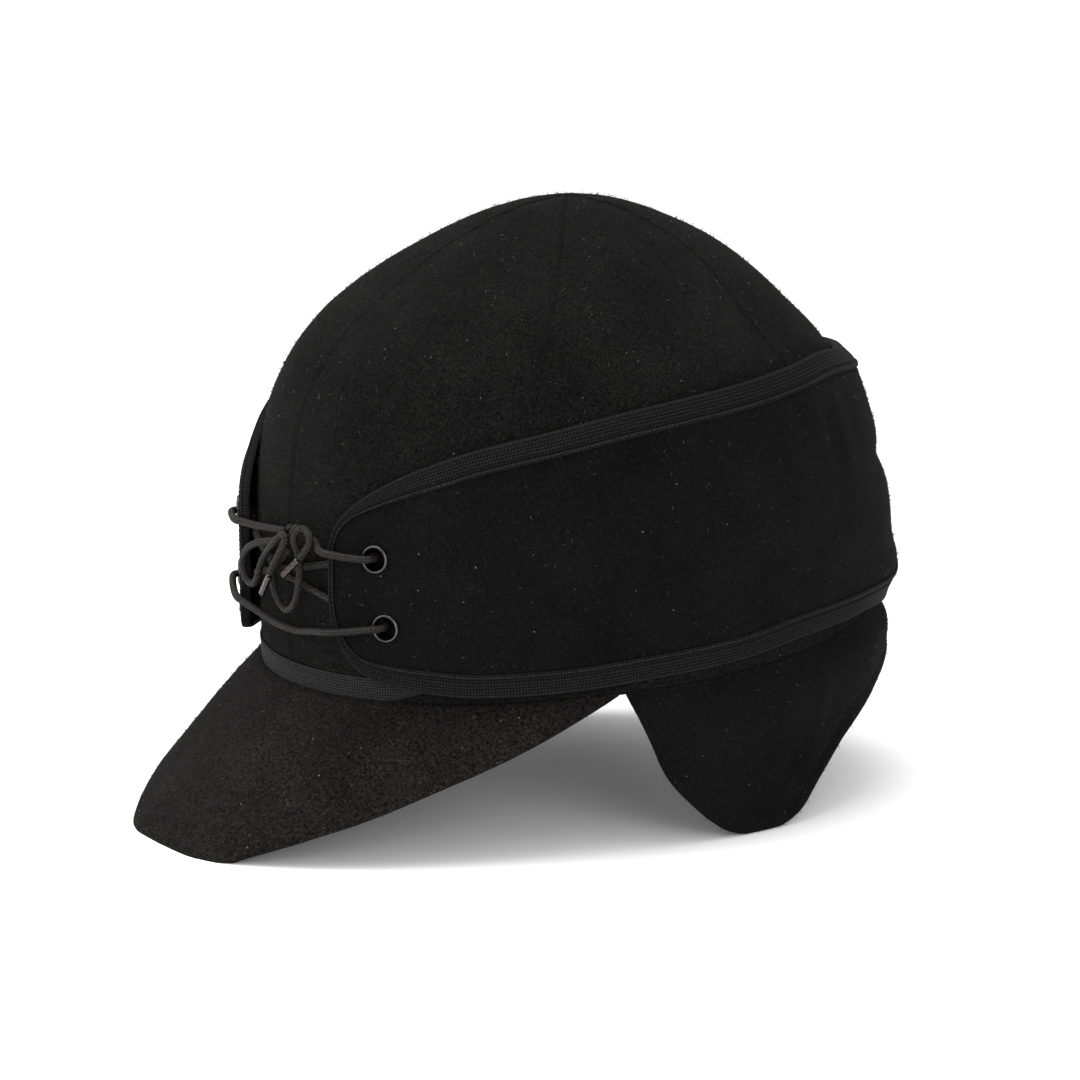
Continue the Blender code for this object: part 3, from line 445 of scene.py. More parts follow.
def band_point(angle, height, depth):
    """A point of the ear band, from its inner face (depth 0) outwards."""
    return skin_point(angle, height, band_standoff(angle, height) + depth)


def dents(angle, height, table):
    """Sum of the soft dents and swells at each place, in metres outwards."""
    total = np.zeros(np.broadcast(angle, height).shape)
    for middle, middle_height, reach, rise, depth in table:
        away = (angle - middle * DEGREE + math.pi) % (2 * math.pi) - math.pi
        total += depth * MM * hump(away, 0.0, reach * DEGREE) * hump(height, middle_height * MM, rise * MM)
    return total


def rumple(points, size, depth, seed):
    """Gentle random unevenness of handled cloth, in metres."""
    flat = points.reshape(-1, 3) / size + seed
    values = [noise.noise(Vector(place)) for place in flat]
    return depth * np.array(values).reshape(points.shape[:-1])


def make_mesh(name, points, faces, material, uvs=None):
    """A smooth-shaded piece at the origin with its faces turned outwards."""
    mesh = bpy.data.meshes.new(name)
    mesh.from_pydata(np.asarray(points).tolist(), [], faces)
    if uvs is not None:
        layer = mesh.uv_layers.new(name="along")
        corner = np.empty(len(mesh.loops), int)
        mesh.loops.foreach_get("vertex_index", corner)
        layer.data.foreach_set("uv", np.asarray(uvs, np.float32)[corner].ravel())
    mesh.materials.append(material)
    shape = bmesh.new()
    shape.from_mesh(mesh)
    bmesh.ops.remove_doubles(shape, verts=shape.verts, dist=0.002 * MM)
    bmesh.ops.recalc_face_normals(shape, faces=shape.faces)
    shape.to_mesh(mesh)
    shape.free()
    mesh.shade_smooth()
    thing = bpy.data.objects.new(name, mesh)
    bpy.context.scene.collection.objects.link(thing)
    return thing


def dress(thing, slot, *nodes):
    """Puts a finished piece in the place of its plain solids."""
    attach(thing, "root")
    if nodes:
        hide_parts(*nodes)
    return thing


def grid_faces(rows, columns, wraps, start=0, turned=False):
    """Quads of a grid of points, row by row."""
    faces = []
    for row in range(rows - 1):
        for column in range(columns if wraps else columns - 1):
            right = (column + 1) % columns
            quad = [row * columns + column, row * columns + right]
            quad += [(row + 1) * columns + right, (row + 1) * columns + column]
            if turned:
                quad.reverse()
            faces.append([start + index for index in quad])
    return faces


def wall_faces(rows, columns, wraps):
    """Quads of a wall between two grids; its edges meet where the two grids meet, or are joined here."""
    second = rows * columns
    faces = grid_faces(rows, columns, wraps) + grid_faces(rows, columns, wraps, second, True)
    spans = columns if wraps else columns - 1
    for column in range(spans):
        right = (column + 1) % columns
        for row, ends in ((0, (right, column)), (rows - 1, (column, right))):
            start, end = (row * columns + index for index in ends)
            faces.append([start, end, second + end, second + start])
    if not wraps:
        for row in range(rows - 1):
            for column, way in ((0, (0, 1)), (columns - 1, (1, 0))):
                start, end = ((row + step) * columns + column for step in way)
                faces.append([start, end, second + end, second + start])
    return faces


def rounded_rows(count, length, wall, round_start, round_end):
    """Places along a length, from 0 to 1, with extra rows where an edge of the wall is rounded."""
    places = np.linspace(0, 1, count + 1)
    turn = np.linspace(0, 0.5 * math.pi, 5)
    lip = wall / 2 * (1 - np.cos(turn)) / length
    if round_start:
        places = np.concatenate([lip, places[places > lip[-1] * 1.2]])
    if round_end:
        places = np.concatenate([places[places < 1 - lip[-1] * 1.2], 1 - lip[::-1]])
    return places


def half_wall(wall, distance):
    """Half of the wall's thickness at a distance from its rounded edge."""
    inside = np.clip(distance, 0.0, wall / 2)
    return np.sqrt(np.maximum((wall / 2) ** 2 - (wall / 2 - inside) ** 2, 0.0))


def sweep(name, sections, closed, material):
    """A smooth piece through a row of loops; its UV is the way along and round, in metres."""
    count, sides = sections.shape[:2]
    faces = []
    for station in range(count if closed else count - 1):
        following = (station + 1) % count
        for side in range(sides):
            beside = (side + 1) % sides
            quad = [station * sides + side, station * sides + beside]
            quad += [following * sides + beside, following * sides + side]
            faces.append(quad)
    if not closed:
        faces.append(list(range(sides)))
        faces.append([(count - 1) * sides + side for side in reversed(range(sides))])
    middle = sections.mean(axis=1)
    along = np.concatenate([[0.0], np.cumsum(np.linalg.norm(np.diff(middle, axis=0), axis=1))])
    uvs = np.stack(np.broadcast_arrays(along[:, None], np.arange(sides)[None, :] / sides), axis=-1)
    return make_mesh(name, sections.reshape(-1, 3), faces, material, uvs.reshape(-1, 2))


def new_material(name, look):
    """A material with a Principled shader, its plain values set on the shader itself."""
    material = bpy.data.materials.new(name)
    material.use_nodes = True
    shader = material.node_tree.nodes["Principled BSDF"]
    for socket, value in look.items():
        shader.inputs[socket].default_value = value
    return material, material.node_tree, shader


def add_node(tree, kind, **values):
    """A node with its input sockets or properties set by name."""
    node = tree.nodes.new(kind)
    for name, value in values.items():
        label = name.replace("_", " ")
        if label in node.inputs:
            node.inputs[label].default_value = value
        else:
            setattr(node, name, value)
    return node


def set_ramp(node, stops):
    """Sets a colour ramp's stops: place and grey or colour."""
    ramp = node.color_ramp
    while len(ramp.elements) < len(stops):
        ramp.elements.new(1.0)
    for element, (place, colour) in zip(ramp.elements, stops):
        element.position = place
        element.color = colour


def grey(value):
    """A neutral colour."""
    return (value, value, value, 1.0)


def nap_group():
    """Felted wool: short matted fibres as a colour mask, sparse lint and a height."""
    group = bpy.data.node_groups.new("felted nap", "ShaderNodeTree")
    for name, default in (("Fibre Scale", 1250.0), ("Lint Scale", 420.0), ("Lint Amount", 0.02)):
        socket = group.interface.new_socket(name, in_out="INPUT", socket_type="NodeSocketFloat")
        socket.default_value = default
    for name in ("Nap", "Patches", "Lint", "Height"):
        group.interface.new_socket(name, in_out="OUTPUT", socket_type="NodeSocketFloat")
    inside = group.nodes.new("NodeGroupInput")
    outside = group.nodes.new("NodeGroupOutput")
    place = group.nodes.new("ShaderNodeTexCoord")
    fibres = add_node(group, "ShaderNodeTexNoise", Detail=5.0, Roughness=0.72, Distortion=0.9)
    mat = add_node(group, "ShaderNodeTexNoise", Scale=260.0, Detail=3.0, Roughness=0.6)
    patches = add_node(group, "ShaderNodeTexNoise", Scale=38.0, Detail=3.0, Roughness=0.55)
    specks = add_node(group, "ShaderNodeTexVoronoi", Randomness=1.0)
    for texture in (fibres, mat, patches, specks):
        group.links.new(place.outputs["Object"], texture.inputs["Vector"])
    group.links.new(inside.outputs["Fibre Scale"], fibres.inputs["Scale"])
    group.links.new(inside.outputs["Lint Scale"], specks.inputs["Scale"])
    small = add_node(group, "ShaderNodeMath", operation="LESS_THAN")
    group.links.new(specks.outputs["Distance"], small.inputs[0])
    chance = add_node(group, "ShaderNodeSeparateColor")
    group.links.new(specks.outputs["Color"], chance.inputs["Color"])
    rare = add_node(group, "ShaderNodeMath", operation="LESS_THAN")
    group.links.new(chance.outputs["Red"], rare.inputs[0])
    group.links.new(inside.outputs["Lint Amount"], rare.inputs[1])
    size = add_node(group, "ShaderNodeMath", operation="MULTIPLY")
    size.inputs[1].default_value = 0.11
    group.links.new(chance.outputs["Green"], size.inputs[0])
    group.links.new(size.outputs[0], small.inputs[1])
    lint = add_node(group, "ShaderNodeMath", operation="MULTIPLY")
    group.links.new(small.outputs[0], lint.inputs[0])
    group.links.new(rare.outputs[0], lint.inputs[1])
    height = add_node(group, "ShaderNodeMath", operation="MULTIPLY_ADD")
    height.inputs[1].default_value = 0.6
    group.links.new(mat.outputs["Fac"], height.inputs[0])
    group.links.new(fibres.outputs["Fac"], height.inputs[2])
    group.links.new(fibres.outputs["Fac"], outside.inputs["Nap"])
    group.links.new(patches.outputs["Fac"], outside.inputs["Patches"])
    group.links.new(lint.outputs[0], outside.inputs["Lint"])
    group.links.new(height.outputs[0], outside.inputs["Height"])
    return group


def wool_material(name, nap, dark, light, lint_amount):
    """Black melton wool with matted nap, faint patches and bright specks of lint."""
    look = {
        "Roughness": 1.0,
        "Specular IOR Level": 0.03,
        "Sheen Weight": 0.012,
        "Sheen Roughness": 0.5,
        "Sheen Tint": (0.75, 0.72, 0.70, 1.0),
    }
    material, tree, shader = new_material(name, look)
    felt = add_node(tree, "ShaderNodeGroup", node_tree=nap)
    felt.inputs["Lint Amount"].default_value = lint_amount
    ramp = add_node(tree, "ShaderNodeValToRGB")
    set_ramp(ramp, ((0.42, dark), (0.66, light)))
    tree.links.new(felt.outputs["Nap"], ramp.inputs["Fac"])
    worn = add_node(tree, "ShaderNodeMix", data_type="RGBA", blend_type="MULTIPLY")
    worn.inputs["Factor"].default_value = 1.0
    shade = add_node(tree, "ShaderNodeValToRGB")
    set_ramp(shade, ((0.32, grey(0.78)), (0.68, grey(1.25))))
    tree.links.new(felt.outputs["Patches"], shade.inputs["Fac"])
    tree.links.new(ramp.outputs["Color"], worn.inputs["A"])
    tree.links.new(shade.outputs["Color"], worn.inputs["B"])
    specked = add_node(tree, "ShaderNodeMix", data_type="RGBA")
    specked.inputs["B"].default_value = (0.11, 0.105, 0.10, 1.0)
    tree.links.new(felt.outputs["Lint"], specked.inputs["Factor"])
    tree.links.new(worn.outputs["Result"], specked.inputs["A"])
    tree.links.new(specked.outputs["Result"], shader.inputs["Base Color"])
    bump = add_node(tree, "ShaderNodeBump", Strength=0.75, Distance=0.5 * MM)
    tree.links.new(felt.outputs["Height"], bump.inputs["Height"])
    tree.links.new(bump.outputs["Normal"], shader.inputs["Normal"])
    return material


def yarn_and_stripe_group():
    """Fine diagonal yarns along a ribbon's own length: a light and dark mask that is also a height. Their
    product holds stripes along the ribbon, which on the ribbed tapes are painted shade in the rib grooves.
    """
    group = bpy.data.node_groups.new("ribbon yarns and stripes", "ShaderNodeTree")
    for name, default in (("Along Scale", 1500.0), ("Across Scale", 40.0)):
        socket = group.interface.new_socket(name, in_out="INPUT", socket_type="NodeSocketFloat")
        socket.default_value = default
    group.interface.new_socket("Yarns And Stripes", in_out="OUTPUT", socket_type="NodeSocketFloat")
    inside = group.nodes.new("NodeGroupInput")
    outside = group.nodes.new("NodeGroupOutput")
    place = group.nodes.new("ShaderNodeTexCoord")
    parts = group.nodes.new("ShaderNodeSeparateXYZ")
    group.links.new(place.outputs["UV"], parts.inputs["Vector"])
    along = add_node(group, "ShaderNodeMath", operation="MULTIPLY")
    across = add_node(group, "ShaderNodeMath", operation="MULTIPLY")
    group.links.new(parts.outputs["X"], along.inputs[0])
    group.links.new(inside.outputs["Along Scale"], along.inputs[1])
    group.links.new(parts.outputs["Y"], across.inputs[0])
    group.links.new(inside.outputs["Across Scale"], across.inputs[1])
    # Two slanted waves multiplied give a crosswise wave plus a lengthwise stripe wave; on the tapes the
    # lengthwise stripes are painted rib-groove shade.
    wave = add_node(group, "ShaderNodeMath", operation="MULTIPLY")
    for index, way in enumerate(("ADD", "SUBTRACT")):
        slant = add_node(group, "ShaderNodeMath", operation=way)
        group.links.new(along.outputs[0], slant.inputs[0])
        group.links.new(across.outputs[0], slant.inputs[1])
        crest = add_node(group, "ShaderNodeMath", operation="SINE")
        group.links.new(slant.outputs[0], crest.inputs[0])
        group.links.new(crest.outputs[0], wave.inputs[index])
    uneven = add_node(group, "ShaderNodeTexNoise", Scale=2000.0, Detail=4.0)
    group.links.new(place.outputs["Object"], uneven.inputs["Vector"])
    mixed = add_node(group, "ShaderNodeMath", operation="MULTIPLY_ADD")
    mixed.inputs[1].default_value = 0.30
    group.links.new(wave.outputs[0], mixed.inputs[0])
    group.links.new(uneven.outputs["Fac"], mixed.inputs[2])
    group.links.new(mixed.outputs[0], outside.inputs["Yarns And Stripes"])
    return group


def yarn_material(name, yarns, look, stops, scales, bump_depth):
    """A woven or braided look whose yarns follow the piece's own length; on the ribbed tapes its dark
    lengthwise stripes are painted shade in the rib grooves.
    """
    material, tree, shader = new_material(name, look)
    pattern = add_node(tree, "ShaderNodeGroup", node_tree=yarns)
    pattern.inputs["Along Scale"].default_value = scales[0]
    pattern.inputs["Across Scale"].default_value = scales[1]
    ramp = add_node(tree, "ShaderNodeValToRGB")
    set_ramp(ramp, stops)
    tree.links.new(pattern.outputs["Yarns And Stripes"], ramp.inputs["Fac"])
    tree.links.new(ramp.outputs["Color"], shader.inputs["Base Color"])
    bump = add_node(tree, "ShaderNodeBump", Strength=0.6, Distance=bump_depth)
    tree.links.new(pattern.outputs["Yarns And Stripes"], bump.inputs["Height"])
    tree.links.new(bump.outputs["Normal"], shader.inputs["Normal"])
    return material


def fibre_material(name, colour, roughness, specular):
    """Loose fibre or thread whose tone varies from place to place."""
    material, tree, shader = new_material(name, {"Roughness": roughness, "Specular IOR Level": specular})
    place = tree.nodes.new("ShaderNodeTexCoord")
    tones = add_node(tree, "ShaderNodeTexNoise", Scale=420.0, Detail=2.0)
    ramp = add_node(tree, "ShaderNodeValToRGB")
    dark = tuple(0.5 * value for value in colour)
    light = tuple(1.5 * value for value in colour)
    set_ramp(ramp, ((0.35, (*dark, 1.0)), (0.65, (*light, 1.0))))
    tree.links.new(place.outputs["Object"], tones.inputs["Vector"])
    tree.links.new(tones.outputs["Fac"], ramp.inputs["Fac"])
    tree.links.new(ramp.outputs["Color"], shader.inputs["Base Color"])
    return material


def metal_material(name, colour, roughness):
    """Metal with light handling marks."""
    material, tree, shader = new_material(name, {"Base Color": colour, "Metallic": 1.0})
    place = tree.nodes.new("ShaderNodeTexCoord")
    marks = add_node(tree, "ShaderNodeTexNoise", Scale=700.0, Detail=4.0)
    tree.links.new(place.outputs["Object"], marks.inputs["Vector"])
    spread = add_node(tree, "ShaderNodeMapRange")
    spread.inputs["To Min"].default_value = roughness * 0.6
    spread.inputs["To Max"].default_value = roughness * 1.5
    tree.links.new(marks.outputs["Fac"], spread.inputs["Value"])
    tree.links.new(spread.outputs["Result"], shader.inputs["Roughness"])
    bump = add_node(tree, "ShaderNodeBump", Strength=0.15, Distance=0.05 * MM)
    tree.links.new(marks.outputs["Fac"], bump.inputs["Height"])
    tree.links.new(bump.outputs["Normal"], shader.inputs["Normal"])
    return material


def set_camera():
    """The camera at the photograph's angle."""
    data = bpy.data.cameras.new("camera")
    data.lens = CAMERA_LENS
    data.sensor_width = CAMERA_SENSOR
    data.clip_start = 0.05
    camera = bpy.data.objects.new("camera", data)
    bpy.context.scene.collection.objects.link(camera)
    aim = Vector(CAMERA_AIM) + Vector(HEAD_CENTRE)
    away = Vector(
        (
            math.sin(CAMERA_TURN) * math.cos(CAMERA_RISE),
            -math.cos(CAMERA_TURN) * math.cos(CAMERA_RISE),
            math.sin(CAMERA_RISE),
        )
    )
    camera.location = aim + away * CAMERA_DISTANCE
    camera.rotation_euler = away.to_track_quat("Z", "Y").to_euler()
    bpy.context.scene.camera = camera


def area_light(name, place, size, power):
    """A soft square light aimed at the cap."""
    data = bpy.data.lights.new(name, "AREA")
    data.size = size
    data.energy = power
    light = bpy.data.objects.new(name, data)
    bpy.context.scene.collection.objects.link(light)
    light.location = place
    light.rotation_euler = (Vector(place) - Vector(LIGHT_AIM)).to_track_quat("Z", "Y").to_euler()


def set_stage():
    """White floor and soft studio light."""
    look = {"Base Color": grey(FLOOR_TONE), "Roughness": 0.9}
    floor_material, tree, shader = new_material("white floor", look)
    place = tree.nodes.new("ShaderNodeTexCoord")
    grain = add_node(tree, "ShaderNodeTexNoise", Scale=60.0)
    tree.links.new(place.outputs["Object"], grain.inputs["Vector"])
    bump = add_node(tree, "ShaderNodeBump", Strength=0.02, Distance=MM)
    tree.links.new(grain.outputs["Fac"], bump.inputs["Height"])
    tree.links.new(bump.outputs["Normal"], shader.inputs["Normal"])
    size = FLOOR_HALF_WIDTH
    corners = [(-size, -size, 0), (size, -size, 0), (size, size, 0), (-size, size, 0)]
    floor = make_mesh("floor", corners, [[0, 1, 2, 3]], floor_material)
    world = bpy.data.worlds.new("studio")
    bpy.context.scene.world = world
    world.use_nodes = True
    sky = world.node_tree.nodes["Background"]
    sky.inputs["Color"].default_value = grey(1.0)
    sky.inputs["Strength"].default_value = SKY_STRENGTH
    for softbox in SOFTBOXES:
        area_light(*softbox)
    bpy.context.scene.view_settings.view_transform = "Standard"


def smooth_path(route, step):
    """Evenly spaced points along a smooth curve through a route's rows."""
    rows = np.array(route, float)
    padded = np.concatenate([[2 * rows[0] - rows[1]], rows, [2 * rows[-1] - rows[-2]]])
    samples = np.linspace(0, 1, 40, endpoint=False)[:, None]
    fine = []
    for index in range(len(rows) - 1):
        before, start, end, after = padded[index : index + 4]
        fine.append(
            0.5
            * (
                2 * start
                + (end - before) * samples
                + (2 * before - 5 * start + 4 * end - after) * samples**2
                + (3 * start - before - 3 * end + after) * samples**3
            )
        )
    fine = np.concatenate(fine + [rows[-1:]])
    points = skin_point(fine[:, 0] * DEGREE, fine[:, 1] * MM, fine[:, 2] * MM)
    lengths = np.concatenate([[0.0], np.cumsum(np.linalg.norm(np.diff(points, axis=0), axis=1))])
    places = np.linspace(0, lengths[-1], round(lengths[-1] / step) + 1)
    return np.stack([np.interp(places, lengths, points[:, axis]) for axis in range(3)], axis=1)


def carried_frames(path):
    """Ways along a path and two directions across it that turn as little as possible."""
    ahead = np.gradient(path, axis=0)
    ahead /= np.linalg.norm(ahead, axis=1, keepdims=True)
    across = np.cross(ahead[0], [0.0, 0.0, 1.0])
    across /= np.linalg.norm(across)
    sides = []
    for way in ahead:
        across = across - way * np.dot(across, way)
        across /= np.linalg.norm(across)
        sides.append(across)
    sides = np.array(sides)
    return ahead, sides, np.cross(ahead, sides)


def braided_tube(name, path, material):
    """A round braid: strands cross in two directions and stand slightly proud."""
    ahead, sideways, upwards = carried_frames(path)
    along = np.concatenate([[0.0], np.cumsum(np.linalg.norm(np.diff(path, axis=0), axis=1))])
    turns = np.arange(CORD_SIDES) * 2 * math.pi / CORD_SIDES
    lay = 2 * math.pi / BRAID_LAY
    right = np.cos(BRAID_STRANDS * turns[None, :] + lay * along[:, None])
    left = np.cos(BRAID_STRANDS * turns[None, :] - lay * along[:, None])
    relief = np.maximum(right, left) * BRAID_RELIEF - BRAID_SINK
    from_end = np.minimum(along, along[-1] - along)
    closing = np.sqrt(np.clip(from_end / (CORD_END_ROUNDING * LACE_DIAMETER), 0.02, 1.0))
    radius = LACE_DIAMETER / 2 * (1 + relief) * closing[:, None]
    loops = (
        path[:, None, :]
        + sideways[:, None, :] * (radius * np.cos(turns))[..., None]
        + upwards[:, None, :] * (radius * np.sin(turns))[..., None]
    )
    return sweep(name, loops, False, material)


def make_aglet(name, path, material):
    """A crimped metal tip on the end of a bow cord, its sheet rolled round the lace and pressed flat."""
    ahead = path[-1] - path[-4]
    ahead /= np.linalg.norm(ahead)
    wide = np.cross(ahead, [0.0, -1.0, 0.0])
    wide /= np.linalg.norm(wide)
    thin = np.cross(ahead, wide)
    shares = np.linspace(0, 1, 40)
    pressed = sum(hump(shares, place, AGLET_CRIMP_WIDTH) for place in AGLET_CRIMPS)
    crimps = 1 - AGLET_CRIMP_DEPTH * pressed
    mouth = 0.86 + 0.14 * smooth_step(shares, 0.0, 0.05)
    closing = np.sqrt(np.clip((1 - shares) / 0.05, 0.05, 1.0))
    turns = np.arange(20) * 2 * math.pi / 20
    loops = []
    for share, size in zip(shares, crimps * mouth * closing):
        middle = path[-1] + ahead * (CLEARANCE + AGLET_LENGTH * share)
        across = np.cos(turns)[:, None] * wide * AGLET_HALF_WIDTH * AGLET_PRESSED * size
        loops.append(middle + across + np.sin(turns)[:, None] * thin * AGLET_HALF_THICKNESS * size)
    tip = sweep(name, np.array(loops), False, material)
    return dress(tip, "tip_metal", name)


def make_bow(lace_material, tip_material):
    """The two free bow cords, each a loop and a tail with its metal tip."""
    for side, route in (("near", NEAR_BOW_ROUTE), ("far", FAR_BOW_ROUTE)):
        path = smooth_path(from_knot(route), CORD_STEP)
        cord = braided_tube(f"bow_{side}", path, lace_material)
        dress(cord, "lace_braid", f"bow_cord_{side}")
        tip = make_aglet(f"aglet_{side}", path, tip_material)


def from_knot(rows):
    """Rows with heights above the floor, from rows with heights above the knot's middle."""
    return np.array(rows) + [0.0, KNOT_HEIGHT / MM, 0.0]


def make_lace(material):
    """The held lace through the four eyelets and across the front."""
    run = np.array(LACE_RUN)
    mirrored = run[::-1] * [-1, 1, 1]
    near_crossing = hump(mirrored[:, 0] * DEGREE, 0.0, CROSSING_SPREAD)
    near_crossing *= hump(mirrored[:, 1] * MM, CROSSING_HEIGHT, CROSSING_RISE)
    mirrored[:, 2] += CROSSING_LIFT / MM * near_crossing
    route = np.concatenate([from_knot(LACE_NEAR_START), run, mirrored, from_knot(LACE_FAR_END)])
    path = smooth_path(route, CORD_STEP)
    dress(braided_tube("lace_run", path, material), "lace_braid", "lace")


def make_knot(material):
    """The knot: two turns of lace drawn tight round each other."""
    middle = skin_point(KNOT_ANGLE, KNOT_HEIGHT, KNOT_OFFSET)
    axis = middle - skin_point(KNOT_ANGLE, KNOT_HEIGHT, 0.0)
    axis /= np.linalg.norm(axis)
    sideways = np.cross([0.0, 0.0, 1.0], axis)
    sideways /= np.linalg.norm(sideways)
    upwards = np.cross(axis, sideways)
    turn = np.linspace(0, 2 * math.pi, 160)
    radius = LACE_DIAMETER / 2
    across = (KNOT_HALF_WIDTH - radius) * (np.sin(turn) + 0.35 * np.sin(2 * turn)) / 1.15
    up = (KNOT_HALF_HEIGHT - radius) * np.cos(2 * turn + 0.6)
    out = (KNOT_HALF_DEPTH - radius * 0.9) * np.cos(3 * turn)
    path = middle + across[:, None] * sideways + up[:, None] * upwards + out[:, None] * axis
    dress(braided_tube("knot", path, material), "lace_braid", "bow_knot")


def make_crown(material):
    """The crown of six panels, with a sewn groove along each seam and soft dents; gives its outer grid."""
    angles = np.arange(CROWN_COLUMNS) * 2 * math.pi / CROWN_COLUMNS
    shares = 1 - (1 - rounded_rows(CROWN_RINGS, CROWN_HEIGHT, CROWN_WALL, True, False)[:-1]) ** 1.6
    foot = rim_height(angles) - CROWN_HEM
    top = RIM_HEIGHT + CROWN_HEIGHT
    heights = foot + shares[:, None] * (top - foot)
    around = np.broadcast_to(angles, heights.shape)
    at_seam = np.abs(np.cos(PANELS / 2 * around))
    fade = np.sin(math.pi * np.clip(shares, 0.0, 1.0))[:, None] ** 0.5
    plan = smooth_table(CROWN_PROFILE, (heights - RIM_HEIGHT) / CROWN_HEIGHT)[..., 0]
    radius = np.maximum(plan, 0.05) * (CROWN_HALF_WIDTH + CROWN_HALF_LENGTH) / 2
    off_seam = np.arccos(np.clip(at_seam, 0, 1)) / (PANELS / 2) * radius
    valley = PANEL_VALLEY * at_seam**6 * fade
    ridge = SEAM_RIDGE * hump(off_seam, SEAM_RIDGE_AWAY, SEAM_RIDGE_WIDTH)
    groove = SEAM_DEPTH * hump(off_seam, 0.0, SEAM_WIDTH) - ridge
    groove = groove * smooth_step(radius, 2 * MM, 9 * MM)
    surface = skin_point(around, heights, 0.0)
    calm = smooth_step(heights, top, top - 12 * MM)
    wave = (dents(around, heights, CROWN_DENTS) + rumple(surface, *CROWN_WAVES)) * calm
    wave += rumple(surface, *CROWN_RIPPLES)
    low = smooth_step(heights, rim_height(around), rim_height(around) + 90 * MM)
    centre = np.minimum(wave * low, SWELL_LIMIT) - valley - groove - CROWN_WALL / 2
    half = half_wall(CROWN_WALL, heights - foot)
    outer = skin_point(around, heights, centre + half)
    inner = skin_point(around, heights, centre - half)
    rows = len(shares)
    points = np.concatenate([outer.reshape(-1, 3), inner.reshape(-1, 3)])
    second = rows * CROWN_COLUMNS
    faces = grid_faces(rows, CROWN_COLUMNS, True) + grid_faces(rows, CROWN_COLUMNS, True, second, True)
    for start, depth, turned in ((0, 0.25 * MM, False), (second, 0.25 * MM + CROWN_WALL, True)):
        points = np.concatenate([points, [HEAD_CENTRE + [0.0, 0.0, top - depth]]])
        ring = start + (rows - 1) * CROWN_COLUMNS
        for column in range(CROWN_COLUMNS):
            fan = [ring + column, ring + (column + 1) % CROWN_COLUMNS, len(points) - 1]
            faces.append(fan[::-1] if turned else fan)
    crown = make_mesh("crown_wool", points, faces, material)
    dress(crown, "wool", "crown")
    return outer[:-1]


def make_band(material):
    """The wool ear band, with a round hole for each eyelet; gives its outer grid."""
    steps = TAPE_STEPS // 2
    skip = round(FRONT_EDGE_SHARE * steps)
    upper = band_edge(True, steps)[0][skip:]
    lower = band_edge(False, steps)[0][skip:]
    rows = []
    for share in rounded_rows(BAND_ROWS, BAND_HEIGHT, BAND_WALL, True, True):
        rows.append(both_ways(lower + (upper - lower) * share))
    grid = np.stack(rows)
    angle, height = grid[..., 0], grid[..., 1]
    surface = band_point(angle, height, BAND_WALL)
    edge = np.minimum(height - grid[:1, :, 1], grid[-1:, :, 1] - height)
    inside = smooth_step(edge, 0.8 * BAND_TAPE_WIDTH, BAND_TAPE_WIDTH + 5 * MM)
    wave = (dents(angle, height, BAND_DENTS) + rumple(surface, *BAND_WAVES)) * inside
    near_eyelet = np.zeros(angle.shape)
    for _, place, level in eyelet_places():
        near_eyelet = np.maximum(near_eyelet, hump(angle, place, 5 * DEGREE) * hump(height, level, 8 * MM))
    wave *= 1 - near_eyelet
    wave += rumple(surface, *BAND_RIPPLES) * inside
    half = half_wall(BAND_WALL, edge)
    outer = band_point(angle, height, BAND_WALL / 2 + half + wave)
    inner = band_point(angle, height, BAND_WALL / 2 - half + np.maximum(wave, -0.2 * MM))
    points = np.concatenate([outer.reshape(-1, 3), inner.reshape(-1, 3)])
    band = make_mesh("band_wool", points, wall_faces(len(rows), outer.shape[1], False), material)
    cut_eyelet_holes(band)
    dress(band, "wool", "ear_band")
    return outer


def cut_eyelet_holes(band):
    """Cuts the four eyelet holes with round plugs."""
    radius = EYELET_BORE_RADIUS + EYELET_BARREL + 0.1 * MM
    points, faces = [], []
    sides = 40
    for _, angle, height in eyelet_places():
        middle, axis, sideways, upwards = eyelet_frame(angle, height)
        start = len(points)
        for depth in (-2 * BAND_WALL, BAND_WALL):
            for turn in np.arange(sides) * 2 * math.pi / sides:
                spoke = math.cos(turn) * sideways + math.sin(turn) * upwards
                points.append(middle + spoke * radius + axis * depth)
        for side in range(sides):
            beside = (side + 1) % sides
            faces.append([start + index for index in (side, beside, sides + beside, sides + side)])
        faces.append([start + index for index in range(sides)])
        faces.append([start + 2 * sides - 1 - index for index in range(sides)])
    plugs = make_mesh("plugs", points, faces, band.data.materials[0])
    cut = band.modifiers.new("holes", "BOOLEAN")
    cut.operation = "DIFFERENCE"
    cut.object = plugs
    make_plain(band)
    bpy.data.objects.remove(plugs)


def make_plain(thing):
    """Turns a piece's live modifiers into plain mesh."""
    graph = bpy.context.evaluated_depsgraph_get()
    mesh = bpy.data.meshes.new_from_object(thing.evaluated_get(graph), depsgraph=graph)
    thing.modifiers.clear()
    thing.data = mesh


